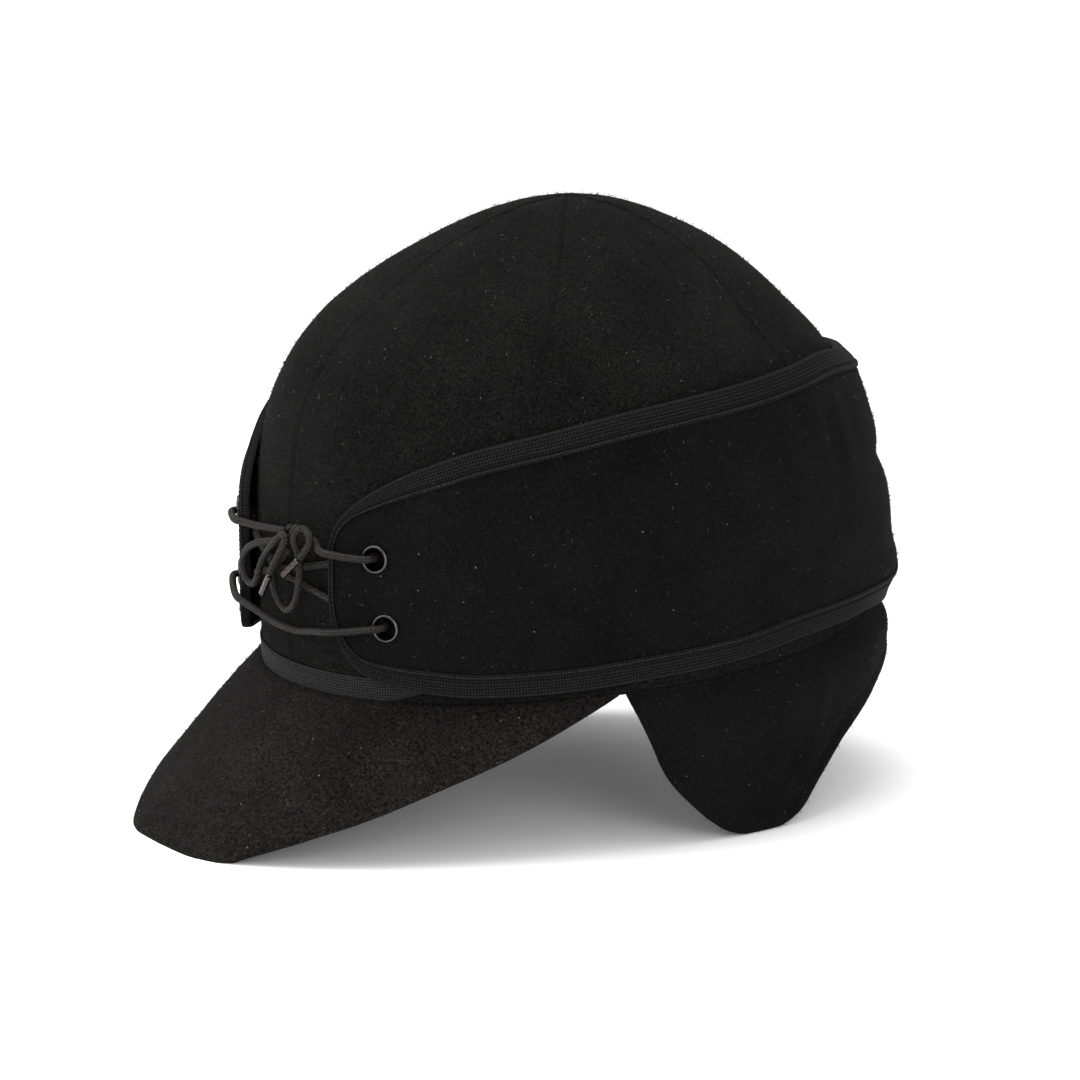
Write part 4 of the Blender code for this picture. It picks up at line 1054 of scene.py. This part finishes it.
def band_edge(upper, count):
    """The wool band's upper or lower edge from its front middle to the back: places and the ways into the
    band, as angle and height, and the width of the tape that binds it."""
    front_count = round(FRONT_EDGE_SHARE * count)
    shares = np.linspace(0, 1, count + 1)
    table = smooth_table(BAND_OUTLINE, shares)
    upper_angle = table[:, 0] * DEGREE
    lower_angle = table[:, 2] * DEGREE
    upper_edge = np.stack([upper_angle, rim_height(upper_angle) + BAND_HEIGHT * table[:, 1]], axis=1)
    lower_edge = np.stack([lower_angle, rim_height(lower_angle) + BAND_HEIGHT * table[:, 3]], axis=1)
    if upper:
        edge, other, turn = upper_edge, lower_edge, 1.0
    else:
        edge, other, turn = lower_edge, upper_edge, -1.0
    front_middle = (edge[0] + other[0]) / 2
    steps = np.linspace(-FRONT_EDGE_LAP, 1, front_count, endpoint=False)[:, None]
    path = np.concatenate([front_middle + (edge[0] - front_middle) * steps, edge])
    radius = (CROWN_HALF_WIDTH + CROWN_HALF_LENGTH) / 2
    ahead = np.gradient(path * [radius, 1.0], axis=0)
    blur = np.ones(EDGE_BLUR) / EDGE_BLUR
    margin = EDGE_BLUR // 2
    padded = np.pad(ahead, ((margin, margin), (0, 0)), mode="edge")
    ahead = np.stack([np.convolve(padded[:, axis], blur, mode="valid") for axis in range(2)], axis=1)
    ahead /= np.linalg.norm(ahead, axis=1, keepdims=True)
    inwards = np.stack([turn * ahead[:, 1], -turn * ahead[:, 0]], axis=1) / [radius, 1.0]
    along = np.concatenate([np.zeros(front_count), shares])
    rise = smooth_step(along, *BAND_TAPE_GROWS)
    widths = BAND_TAPE_END_WIDTH + (BAND_TAPE_WIDTH - BAND_TAPE_END_WIDTH) * rise
    return path, inwards, widths[:, None]


def both_ways(rows):
    """Rows from the left front end to the back, and mirrored from there to the right front end."""
    return np.concatenate([rows, rows[-2::-1] * [-1.0, 1.0]])


def tape_profile():
    """Cross-section of folded braid: depth above the wool, share of the tape's width, and inset past the
    edge; lengthwise ribs, then a groove and a raised line along the free edge."""
    body = TAPE_THICKNESS * TAPE_BODY
    rows = []
    for share in np.linspace(1.0, 0.03, 49):
        if share > TAPE_LINE_START:
            from_crest = (share - TAPE_LINE_CREST) / (TAPE_LINE_CREST - TAPE_LINE_START)
            lift = TAPE_LINE_HEIGHT * math.sqrt(max(0.0, 1 - from_crest**2))
        elif share > TAPE_RIBBED_SHARE:
            lift = -TAPE_GROOVE_DEPTH
        else:
            lift = TAPE_RIB_HEIGHT * abs(math.cos(math.pi * TAPE_RIBS * share / TAPE_RIBBED_SHARE))
        rows.append((body + lift, share, 0.0))
    for turn in np.linspace(0.1, 1.0, 8) * 0.5 * math.pi:
        sink = (1 - math.cos(turn)) * 0.6 * MM
        rows.append((body * math.cos(turn) - sink, 0.0, -body * math.sin(turn) - CLEARANCE))
    return rows


def make_band_tape(name, upper, material):
    """Ribbed braid folded over one long edge of the band and down its front end; gives its stitch line."""
    path, inwards, widths = band_edge(upper, TAPE_STEPS)
    if not upper:
        widths = widths * (1 + LOWER_TAPE_SPREAD * smooth_step(path[:, :1], *LOWER_TAPE_SPREADS))
    face = BAND_WALL + TAPE_SEAT
    loops = []
    for depth, share, inset in tape_profile():
        places = both_ways(path + inwards * (widths * share + inset))
        loops.append(band_point(places[:, 0], places[:, 1], face + depth))
    # Inner side: depth from the band's inner face, share of the tape's width, inset past the edge.
    under = (
        (0.10 * MM, 0.0, -CLEARANCE - TAPE_THICKNESS * TAPE_BODY),
        (-0.25 * MM, 0.0, -CLEARANCE - 0.2 * MM),
        (-0.30 * MM, 0.25, 0.0),
        (-0.08 * MM, 0.25, 0.0),
        (-0.05 * MM, 0.0, -0.10 * MM),
        (BAND_WALL + 0.05 * MM, 0.0, -0.10 * MM),
        (face, 1.0, 0.0),
    )
    for depth, share, inset in under:
        places = both_ways(path + inwards * (widths * share + inset))
        loops.append(band_point(places[:, 0], places[:, 1], depth))
    piece = sweep(name, np.stack(loops, axis=1), False, material)
    dress(piece, "braid_tape", name.replace("_braid", ""))
    places = both_ways(path + inwards * widths * TAPE_LINE_CREST)
    crest = face + TAPE_THICKNESS * TAPE_BODY + TAPE_LINE_HEIGHT
    return band_point(places[:, 0], places[:, 1], crest)


def make_rim_tape(material):
    """Ribbed braid round the crown's foot, over the bill's seam and narrower at its two ends; gives its
    stitch line."""
    angles = np.linspace(-RIM_TAPE_HALF_ANGLE, RIM_TAPE_HALF_ANGLE, 300)
    narrows = smooth_step(np.abs(angles), *RIM_TAPE_NARROWS)
    foot = rim_height(angles) - RIM_TAPE_LAP + RIM_TAPE_NARROWING * RIM_TAPE_WIDTH * narrows
    width = rim_height(angles) + RIM_TAPE_WIDTH - foot
    loops = []
    for share in np.linspace(0.0, 1.0, 45):
        edge = math.sqrt(max(0.0, 1 - abs(2 * share - 1) ** 10))
        rib = RIM_RIB_HEIGHT * abs(math.cos(math.pi * RIM_TAPE_RIBS * share))
        lift = (TAPE_BODY * TAPE_THICKNESS + rib) * edge
        loops.append(skin_point(angles, foot + width * share, RIM_TAPE_SEAT + lift))
    for share in (0.98, 0.5, 0.02):
        loops.append(skin_point(angles, foot + width * share, TAPE_SEAT))
    piece = sweep("rim_tape_braid", np.stack(loops, axis=1), False, material)
    dress(piece, "braid_tape", "rim_tape")
    crest = RIM_TAPE_SEAT + RIM_RIB_HEIGHT + TAPE_BODY * TAPE_THICKNESS
    return skin_point(angles, foot + RIM_STITCH_SHARE * width, crest)


def eyelet_frame(angle, height):
    """Middle of an eyelet on the band's outer face, its outward axis, and two directions in the face."""
    middle = band_point(angle, height, BAND_WALL)
    axis = middle - band_point(angle, height, 0.0)
    axis /= np.linalg.norm(axis)
    sideways = np.cross([0.0, 0.0, 1.0], axis)
    sideways /= np.linalg.norm(sideways)
    return middle, axis, sideways, np.cross(axis, sideways)


def eyelet_places():
    """Name, angle and height of each eyelet."""
    for side, sign in (("left", 1.0), ("right", -1.0)):
        yield f"eyelet_{side}_upper", sign * EYELET_UPPER_ANGLE, EYELET_UPPER_HEIGHT
        yield f"eyelet_{side}_lower", sign * EYELET_LOWER_ANGLE, EYELET_LOWER_HEIGHT


def make_eyelets(material):
    """Rolled eyelets with a smooth domed roll outside and a clenched ring inside."""
    barrel = EYELET_BORE_RADIUS + EYELET_BARREL
    roll_middle = (EYELET_BORE_RADIUS + EYELET_RADIUS) / 2
    roll_half = (EYELET_RADIUS - EYELET_BORE_RADIUS) / 2
    back = -BAND_WALL - 1.5 * CLEARANCE
    seat = 0.1 * MM
    sides = 56
    profile = [(EYELET_BORE_RADIUS, back - EYELET_CLENCH)]
    for turn in np.linspace(0, math.pi, 15):
        radius = roll_middle - roll_half * math.cos(turn)
        profile.append((radius, seat + (0.25 + 0.85 * math.sin(turn)) * EYELET_ROLL))
    profile += [(EYELET_RADIUS - 0.1 * MM, seat), (barrel, seat), (barrel, back)]
    profile += [(roll_middle, back), (roll_middle, back - EYELET_CLENCH)]
    for name, angle, height in eyelet_places():
        middle, axis, sideways, upwards = eyelet_frame(angle, height)
        loops = []
        for turn in np.arange(sides) * 2 * math.pi / sides:
            spoke = math.cos(turn) * sideways + math.sin(turn) * upwards
            loops.append([middle + spoke * radius + axis * depth for radius, depth in profile])
        dress(sweep(f"{name}_metal", np.array(loops), True, material), "eyelet_metal", name)


def bill_surface(across, down):
    """Upper surface of the bill: across from -1 to 1, down from the seam (0) to the free edge (1)."""
    angle = across * BILL_HALF_ANGLE
    height = rim_height(angle) - CLEARANCE / 2
    root = skin_point(angle, height, 0.0)
    edge = smooth_table(BILL_EDGE, np.abs(across))
    end_angle = BILL_HALF_ANGLE
    end = skin_point(end_angle, rim_height(end_angle), 0.0) - HEAD_CENTRE
    front = (skin_point(0.0, rim_height(0.0), 0.0) - HEAD_CENTRE)[1] - BILL_REACH
    tip = np.stack(
        [
            np.sign(across) * end[0] * edge[..., 0],
            end[1] + (front - end[1]) * edge[..., 1],
            (rim_height(end_angle) - BILL_END_DEPTH) * edge[..., 2],
        ],
        axis=-1,
    ) + HEAD_CENTRE
    share = down[..., None]
    length = np.linalg.norm(tip - root, axis=-1, keepdims=True)
    reach = length / np.max(length)
    outwards = np.stack([np.sin(angle), -np.cos(angle), np.full(across.shape, 0.8)], axis=-1)
    outwards /= np.linalg.norm(outwards, axis=-1, keepdims=True)
    return root + (tip - root) * share + outwards * BILL_CROWNING * reach * 4 * share * (1 - share)


def make_bill(material):
    """The wool-covered bill with its turned edge; gives its upper grid."""
    turn = np.linspace(-1, 1, BILL_COLUMNS + 1)
    across = np.broadcast_to(turn, (BILL_ROWS + 1, BILL_COLUMNS + 1))
    steps = np.linspace(0, 1, BILL_ROWS + 1) ** 0.8
    down = np.broadcast_to(steps[:, None], across.shape)
    outer = bill_surface(across, down)
    nudge = 0.01
    left = bill_surface(np.minimum(across + nudge, 1), down)
    right = bill_surface(np.maximum(across - nudge, -1), down)
    lower_place = bill_surface(across, np.minimum(down + nudge, 1))
    upper_place = bill_surface(across, np.maximum(down - nudge, 0))
    normal = np.cross(left - right, lower_place - upper_place)
    normal *= np.sign(np.sum(normal * (outer - HEAD_CENTRE) * [1, 1, 0], axis=-1, keepdims=True))
    normal /= np.linalg.norm(normal, axis=-1, keepdims=True)
    length = np.linalg.norm(outer[-1] - outer[0], axis=-1)
    to_edge = (1 - down) * length
    half = half_wall(BILL_WALL, to_edge + 0.25 * MM)
    wave = rumple(outer, *BILL_WAVES) + rumple(outer, *BILL_RIPPLES)
    wave *= smooth_step(to_edge, 0.0, 4 * MM) * smooth_step(down * length, 0.0, 5 * MM)
    centre = outer - normal * BILL_WALL / 2 + normal * wave[..., None]
    upper = centre + normal * half[..., None]
    lower = centre - normal * half[..., None]
    upper[..., 2] = np.maximum(upper[..., 2], 0.0)
    lower[..., 2] = np.maximum(lower[..., 2], 0.0)
    points = np.concatenate([upper.reshape(-1, 3), lower.reshape(-1, 3)])
    bill = make_mesh("bill_wool", points, wall_faces(BILL_ROWS + 1, BILL_COLUMNS + 1, False), material)
    dress(bill, "wool", "bill")
    return upper


def make_flap(material):
    """The ear flap with its thick rolled border, dents and a fold over the ear; gives its outer grid."""
    count = 170
    shares = np.linspace(0, 1, count + 1)
    table = smooth_table(FLAP_EDGE, shares)
    rim_angles = table[:, 0] * DEGREE
    tip_angles = table[:, 1] * DEGREE
    top = rim_height(rim_angles) - CLEARANCE / 2
    bottom = table[:, 2] * (rim_height(rim_angles) - CLEARANCE)
    down = rounded_rows(FLAP_ROWS, RIM_HEIGHT, FLAP_WALL, False, True)[:, None]
    angles = rim_angles + (tip_angles - rim_angles) * down
    heights = top + (bottom - top) * down
    angles = np.concatenate([angles, -angles[:, -2::-1]], axis=1)
    heights = np.concatenate([heights, heights[:, -2::-1]], axis=1)
    columns = angles.shape[1]
    rims = rim_height(angles)
    below = (rims - heights) / RIM_HEIGHT
    swell = FLAP_BULGE * np.sin(math.pi * np.clip(2.2 * below, 0.0, 1.0))
    offset = rim_draw(angles, rims) * smooth_step(below, 0.0, 0.15) + swell - FLAP_LEAN * below**2
    surface = skin_point(angles, heights, offset)
    rows = np.linalg.norm(np.diff(surface, axis=0), axis=-1)
    to_edge = np.concatenate([np.cumsum(rows[::-1], axis=0)[::-1], np.zeros((1, columns))])
    border = FLAP_BORDER_LIFT * hump(to_edge, 3.0 * MM, 2.4 * MM)
    border -= FLAP_BORDER_GROOVE * hump(to_edge, 6.8 * MM, 1.5 * MM)
    wave = dents(angles, heights, FLAP_DENTS) + rumple(surface, *FLAP_WAVES)
    wave = wave * smooth_step(to_edge, 0.0, 5 * MM) * smooth_step(below, 0.0, 0.2)
    wave += rumple(surface, *FLAP_RIPPLES) + border * smooth_step(below, 0.0, 0.2)
    half = half_wall(FLAP_WALL, to_edge + 0.05 * MM)
    outer = skin_point(angles, heights, offset + wave - FLAP_WALL / 2 + half)
    inner = skin_point(angles, heights, offset + 0.5 * wave - FLAP_WALL / 2 - half)
    points = np.concatenate([outer.reshape(-1, 3), inner.reshape(-1, 3)])
    flap = make_mesh("flap_wool", points, wall_faces(len(down), columns, False), material)
    dress(flap, "wool", "ear_flap")
    return outer


def fibre_tree():
    """Geometry nodes that grow short loose fibres all over a surface."""
    tree = bpy.data.node_groups.new("loose fibres", "GeometryNodeTree")
    face = tree.interface
    face.new_socket("Geometry", in_out="INPUT", socket_type="NodeSocketGeometry")
    for name in ("Density", "Length", "Thickness", "Lean"):
        face.new_socket(name, in_out="INPUT", socket_type="NodeSocketFloat")
    face.new_socket("Seed", in_out="INPUT", socket_type="NodeSocketInt")
    face.new_socket("Material", in_out="INPUT", socket_type="NodeSocketMaterial")
    face.new_socket("Geometry", in_out="OUTPUT", socket_type="NodeSocketGeometry")
    inside = tree.nodes.new("NodeGroupInput")
    outside = tree.nodes.new("NodeGroupOutput")
    scatter = tree.nodes.new("GeometryNodeDistributePointsOnFaces")
    fibre = tree.nodes.new("GeometryNodeMeshCone")
    fibre.inputs["Vertices"].default_value = 3
    fibre.inputs["Radius Top"].default_value = 0.0
    place = tree.nodes.new("GeometryNodeInstanceOnPoints")
    lean = tree.nodes.new("GeometryNodeRotateInstances")
    turn = tree.nodes.new("FunctionNodeRandomValue")
    turn.data_type = "FLOAT_VECTOR"
    size = tree.nodes.new("FunctionNodeRandomValue")
    size.data_type = "FLOAT"
    size.inputs[2].default_value = 0.4
    size.inputs[3].default_value = 1.5
    least = add_node(tree, "ShaderNodeMath", operation="MULTIPLY")
    least.inputs[1].default_value = -1.0
    low = tree.nodes.new("ShaderNodeCombineXYZ")
    high = tree.nodes.new("ShaderNodeCombineXYZ")
    low.inputs["Z"].default_value = 0.0
    high.inputs["Z"].default_value = 2 * math.pi
    finish = tree.nodes.new("GeometryNodeSetMaterial")
    realise = tree.nodes.new("GeometryNodeRealizeInstances")
    link = tree.links.new
    link(inside.outputs["Geometry"], scatter.inputs["Mesh"])
    link(inside.outputs["Density"], scatter.inputs["Density"])
    link(inside.outputs["Seed"], scatter.inputs["Seed"])
    link(inside.outputs["Thickness"], fibre.inputs["Radius Bottom"])
    link(inside.outputs["Length"], fibre.inputs["Depth"])
    link(scatter.outputs["Points"], place.inputs["Points"])
    link(scatter.outputs["Rotation"], place.inputs["Rotation"])
    link(fibre.outputs["Mesh"], place.inputs["Instance"])
    link(size.outputs[1], place.inputs["Scale"])
    link(inside.outputs["Seed"], size.inputs["Seed"])
    link(inside.outputs["Seed"], turn.inputs["Seed"])
    link(inside.outputs["Lean"], least.inputs[0])
    for socket in ("X", "Y"):
        link(least.outputs[0], low.inputs[socket])
        link(inside.outputs["Lean"], high.inputs[socket])
    link(low.outputs[0], turn.inputs[0])
    link(high.outputs[0], turn.inputs[1])
    link(place.outputs["Instances"], lean.inputs["Instances"])
    link(turn.outputs[0], lean.inputs["Rotation"])
    link(lean.outputs["Instances"], realise.inputs["Geometry"])
    link(realise.outputs["Geometry"], finish.inputs["Geometry"])
    link(inside.outputs["Material"], finish.inputs["Material"])
    link(finish.outputs["Geometry"], outside.inputs["Geometry"])
    return tree


def run_tree(name, thing, tree, values):
    """Runs a geometry tree on a temporary object and keeps the result as a plain piece."""
    modifier = thing.modifiers.new(name, "NODES")
    modifier.node_group = tree
    for item in tree.interface.items_tree:
        if item.in_out == "INPUT" and item.name in values:
            modifier[item.identifier] = values[item.name]
    graph = bpy.context.evaluated_depsgraph_get()
    graph.update()
    mesh = bpy.data.meshes.new_from_object(thing.evaluated_get(graph), depsgraph=graph)
    piece = bpy.data.objects.new(name, mesh)
    bpy.context.scene.collection.objects.link(piece)
    bpy.data.objects.remove(thing)
    return piece


def grow_fibres(name, outer, tree, fibre_material, seed, sizes):
    """Loose fibres on the outer grid of a wool piece."""
    rows, columns = outer.shape[:2]
    wraps = columns == CROWN_COLUMNS
    ground = make_mesh("ground", outer.reshape(-1, 3), grid_faces(rows, columns, wraps), fibre_material)
    aim = np.mean(outer, axis=(0, 1))
    outward = [face.normal.dot(face.center - Vector(aim)) for face in ground.data.polygons]
    if np.mean(np.sign(outward)) < 0:
        ground.data.flip_normals()
    values = {**sizes, "Seed": seed, "Material": fibre_material}
    fibres = run_tree(name, ground, tree, values)
    return dress(fibres, "wool")


def stitch_tree():
    """Geometry nodes that lay short stitches along a line."""
    tree = bpy.data.node_groups.new("stitches", "GeometryNodeTree")
    face = tree.interface
    face.new_socket("Geometry", in_out="INPUT", socket_type="NodeSocketGeometry")
    for name in ("Pitch", "Length", "Thickness"):
        face.new_socket(name, in_out="INPUT", socket_type="NodeSocketFloat")
    face.new_socket("Material", in_out="INPUT", socket_type="NodeSocketMaterial")
    face.new_socket("Geometry", in_out="OUTPUT", socket_type="NodeSocketGeometry")
    inside = tree.nodes.new("NodeGroupInput")
    outside = tree.nodes.new("NodeGroupOutput")
    line = tree.nodes.new("GeometryNodeMeshToCurve")
    spread = tree.nodes.new("GeometryNodeCurveToPoints")
    spread.mode = "LENGTH"
    stitch = tree.nodes.new("GeometryNodeMeshUVSphere")
    stitch.inputs["Segments"].default_value = 6
    stitch.inputs["Rings"].default_value = 5
    stitch.inputs["Radius"].default_value = 0.5
    shape = tree.nodes.new("ShaderNodeCombineXYZ")
    place = tree.nodes.new("GeometryNodeInstanceOnPoints")
    realise = tree.nodes.new("GeometryNodeRealizeInstances")
    finish = tree.nodes.new("GeometryNodeSetMaterial")
    link = tree.links.new
    link(inside.outputs["Geometry"], line.inputs["Mesh"])
    link(line.outputs["Curve"], spread.inputs["Curve"])
    link(inside.outputs["Pitch"], spread.inputs["Length"])
    link(spread.outputs["Points"], place.inputs["Points"])
    link(spread.outputs["Rotation"], place.inputs["Rotation"])
    link(stitch.outputs["Mesh"], place.inputs["Instance"])
    link(inside.outputs["Thickness"], shape.inputs["X"])
    link(inside.outputs["Thickness"], shape.inputs["Y"])
    link(inside.outputs["Length"], shape.inputs["Z"])
    link(shape.outputs[0], place.inputs["Scale"])
    link(place.outputs["Instances"], realise.inputs["Geometry"])
    link(realise.outputs["Geometry"], finish.inputs["Geometry"])
    link(inside.outputs["Material"], finish.inputs["Material"])
    link(finish.outputs["Geometry"], outside.inputs["Geometry"])
    return tree


def sew(name, line, tree, material):
    """A row of stitches along a line of points."""
    mesh = bpy.data.meshes.new("line")
    mesh.from_pydata(line.tolist(), [(index, index + 1) for index in range(len(line) - 1)], [])
    thing = bpy.data.objects.new("line", mesh)
    bpy.context.scene.collection.objects.link(thing)
    sizes = {"Pitch": STITCH_PITCH, "Length": STITCH_LENGTH, "Thickness": STITCH_THICKNESS}
    return dress(run_tree(name, thing, tree, {**sizes, "Material": material}), "braid_tape")


# Camera, floor and light.
set_camera()
set_stage()

# Materials.
nap = nap_group()
yarns = yarn_and_stripe_group()
crown_wool = wool_material("crown melton", nap, *CROWN_TONES)
band_wool = wool_material("band melton", nap, *BAND_TONES)
bill_wool = wool_material("bill melton", nap, *BILL_TONES)
fibre_wool = fibre_material("loose wool fibre", (0.014, 0.0135, 0.013), 1.0, 0.05)
edge_wool = fibre_material("edge fuzz", (0.075, 0.072, 0.068), 1.0, 0.5)
lint_look = fibre_material("pale lint", (0.10, 0.095, 0.09), 1.0, 0.1)
# Band tapes: the across scale 28.7 lays dark stripes along the tape, painted shade in the rib grooves.
braid = yarn_material(
    "ribbed braid with painted rib shade",
    yarns,
    {"Roughness": 0.80, "Specular IOR Level": 0.05},
    ((0.34, grey(0.0008)), (0.74, grey(0.0112))),
    (3500.0, 28.7),
    0.10 * MM,
)
thread = fibre_material("sewing thread", (0.016, 0.016, 0.016), 0.8, 0.1)
# Rim tape: the same across scale lays dark stripes along the tape, painted shade in the rib grooves.
rim_braid = yarn_material(
    "rim braid with painted rib shade",
    yarns,
    {"Roughness": 0.80, "Specular IOR Level": 0.08},
    ((0.34, grey(0.0012)), (0.74, grey(0.0230))),
    (3500.0, 28.7),
    0.10 * MM,
)
lace_look = yarn_material(
    "braided lace",
    yarns,
    {"Roughness": 0.65, "Specular IOR Level": 0.15},
    ((0.44, (0.0018, 0.0014, 0.0010, 1.0)), (0.80, (0.032, 0.0272, 0.0205, 1.0))),
    (4800.0, 25.1),
    0.08 * MM,
)
eyelet_metal = metal_material("gunmetal", (0.062, 0.061, 0.063, 1.0), 0.28)
tip_metal = metal_material("bright tip", (0.060, 0.048, 0.046, 1.0), 0.18)

# Pieces in place of the plain solids.
make_bow(lace_look, tip_metal)
make_lace(lace_look)
make_knot(lace_look)
wool_faces = {
    "crown": make_crown(crown_wool),
    "band": make_band(band_wool),
    "flap": make_flap(band_wool),
    "bill": make_bill(bill_wool),
}
top_line = make_band_tape("band_tape_top_braid", True, braid)
bottom_line = make_band_tape("band_tape_bottom_braid", False, braid)
rim_line = make_rim_tape(rim_braid)
make_eyelets(eyelet_metal)

# Stitches and loose fibres on top of them.
stitches = stitch_tree()
for name, line in (("top", top_line), ("bottom", bottom_line), ("rim", rim_line)):
    sew(f"{name}_stitches", line, stitches, thread)

fibres = fibre_tree()
for seed, (name, outer) in enumerate(wool_faces.items()):
    grow_fibres(f"{name}_nap", outer, fibres, fibre_wool, NAP_SEED + seed, NAP_FIBRES)
    grow_fibres(f"{name}_lint", outer, fibres, lint_look, LINT_SEED + seed, LINT_FIBRES)
bill_edge = wool_faces["bill"][-BILL_EDGE_ROWS:]
grow_fibres("bill_edge_fuzz", bill_edge, fibres, edge_wool, EDGE_SEED, EDGE_FIBRES)
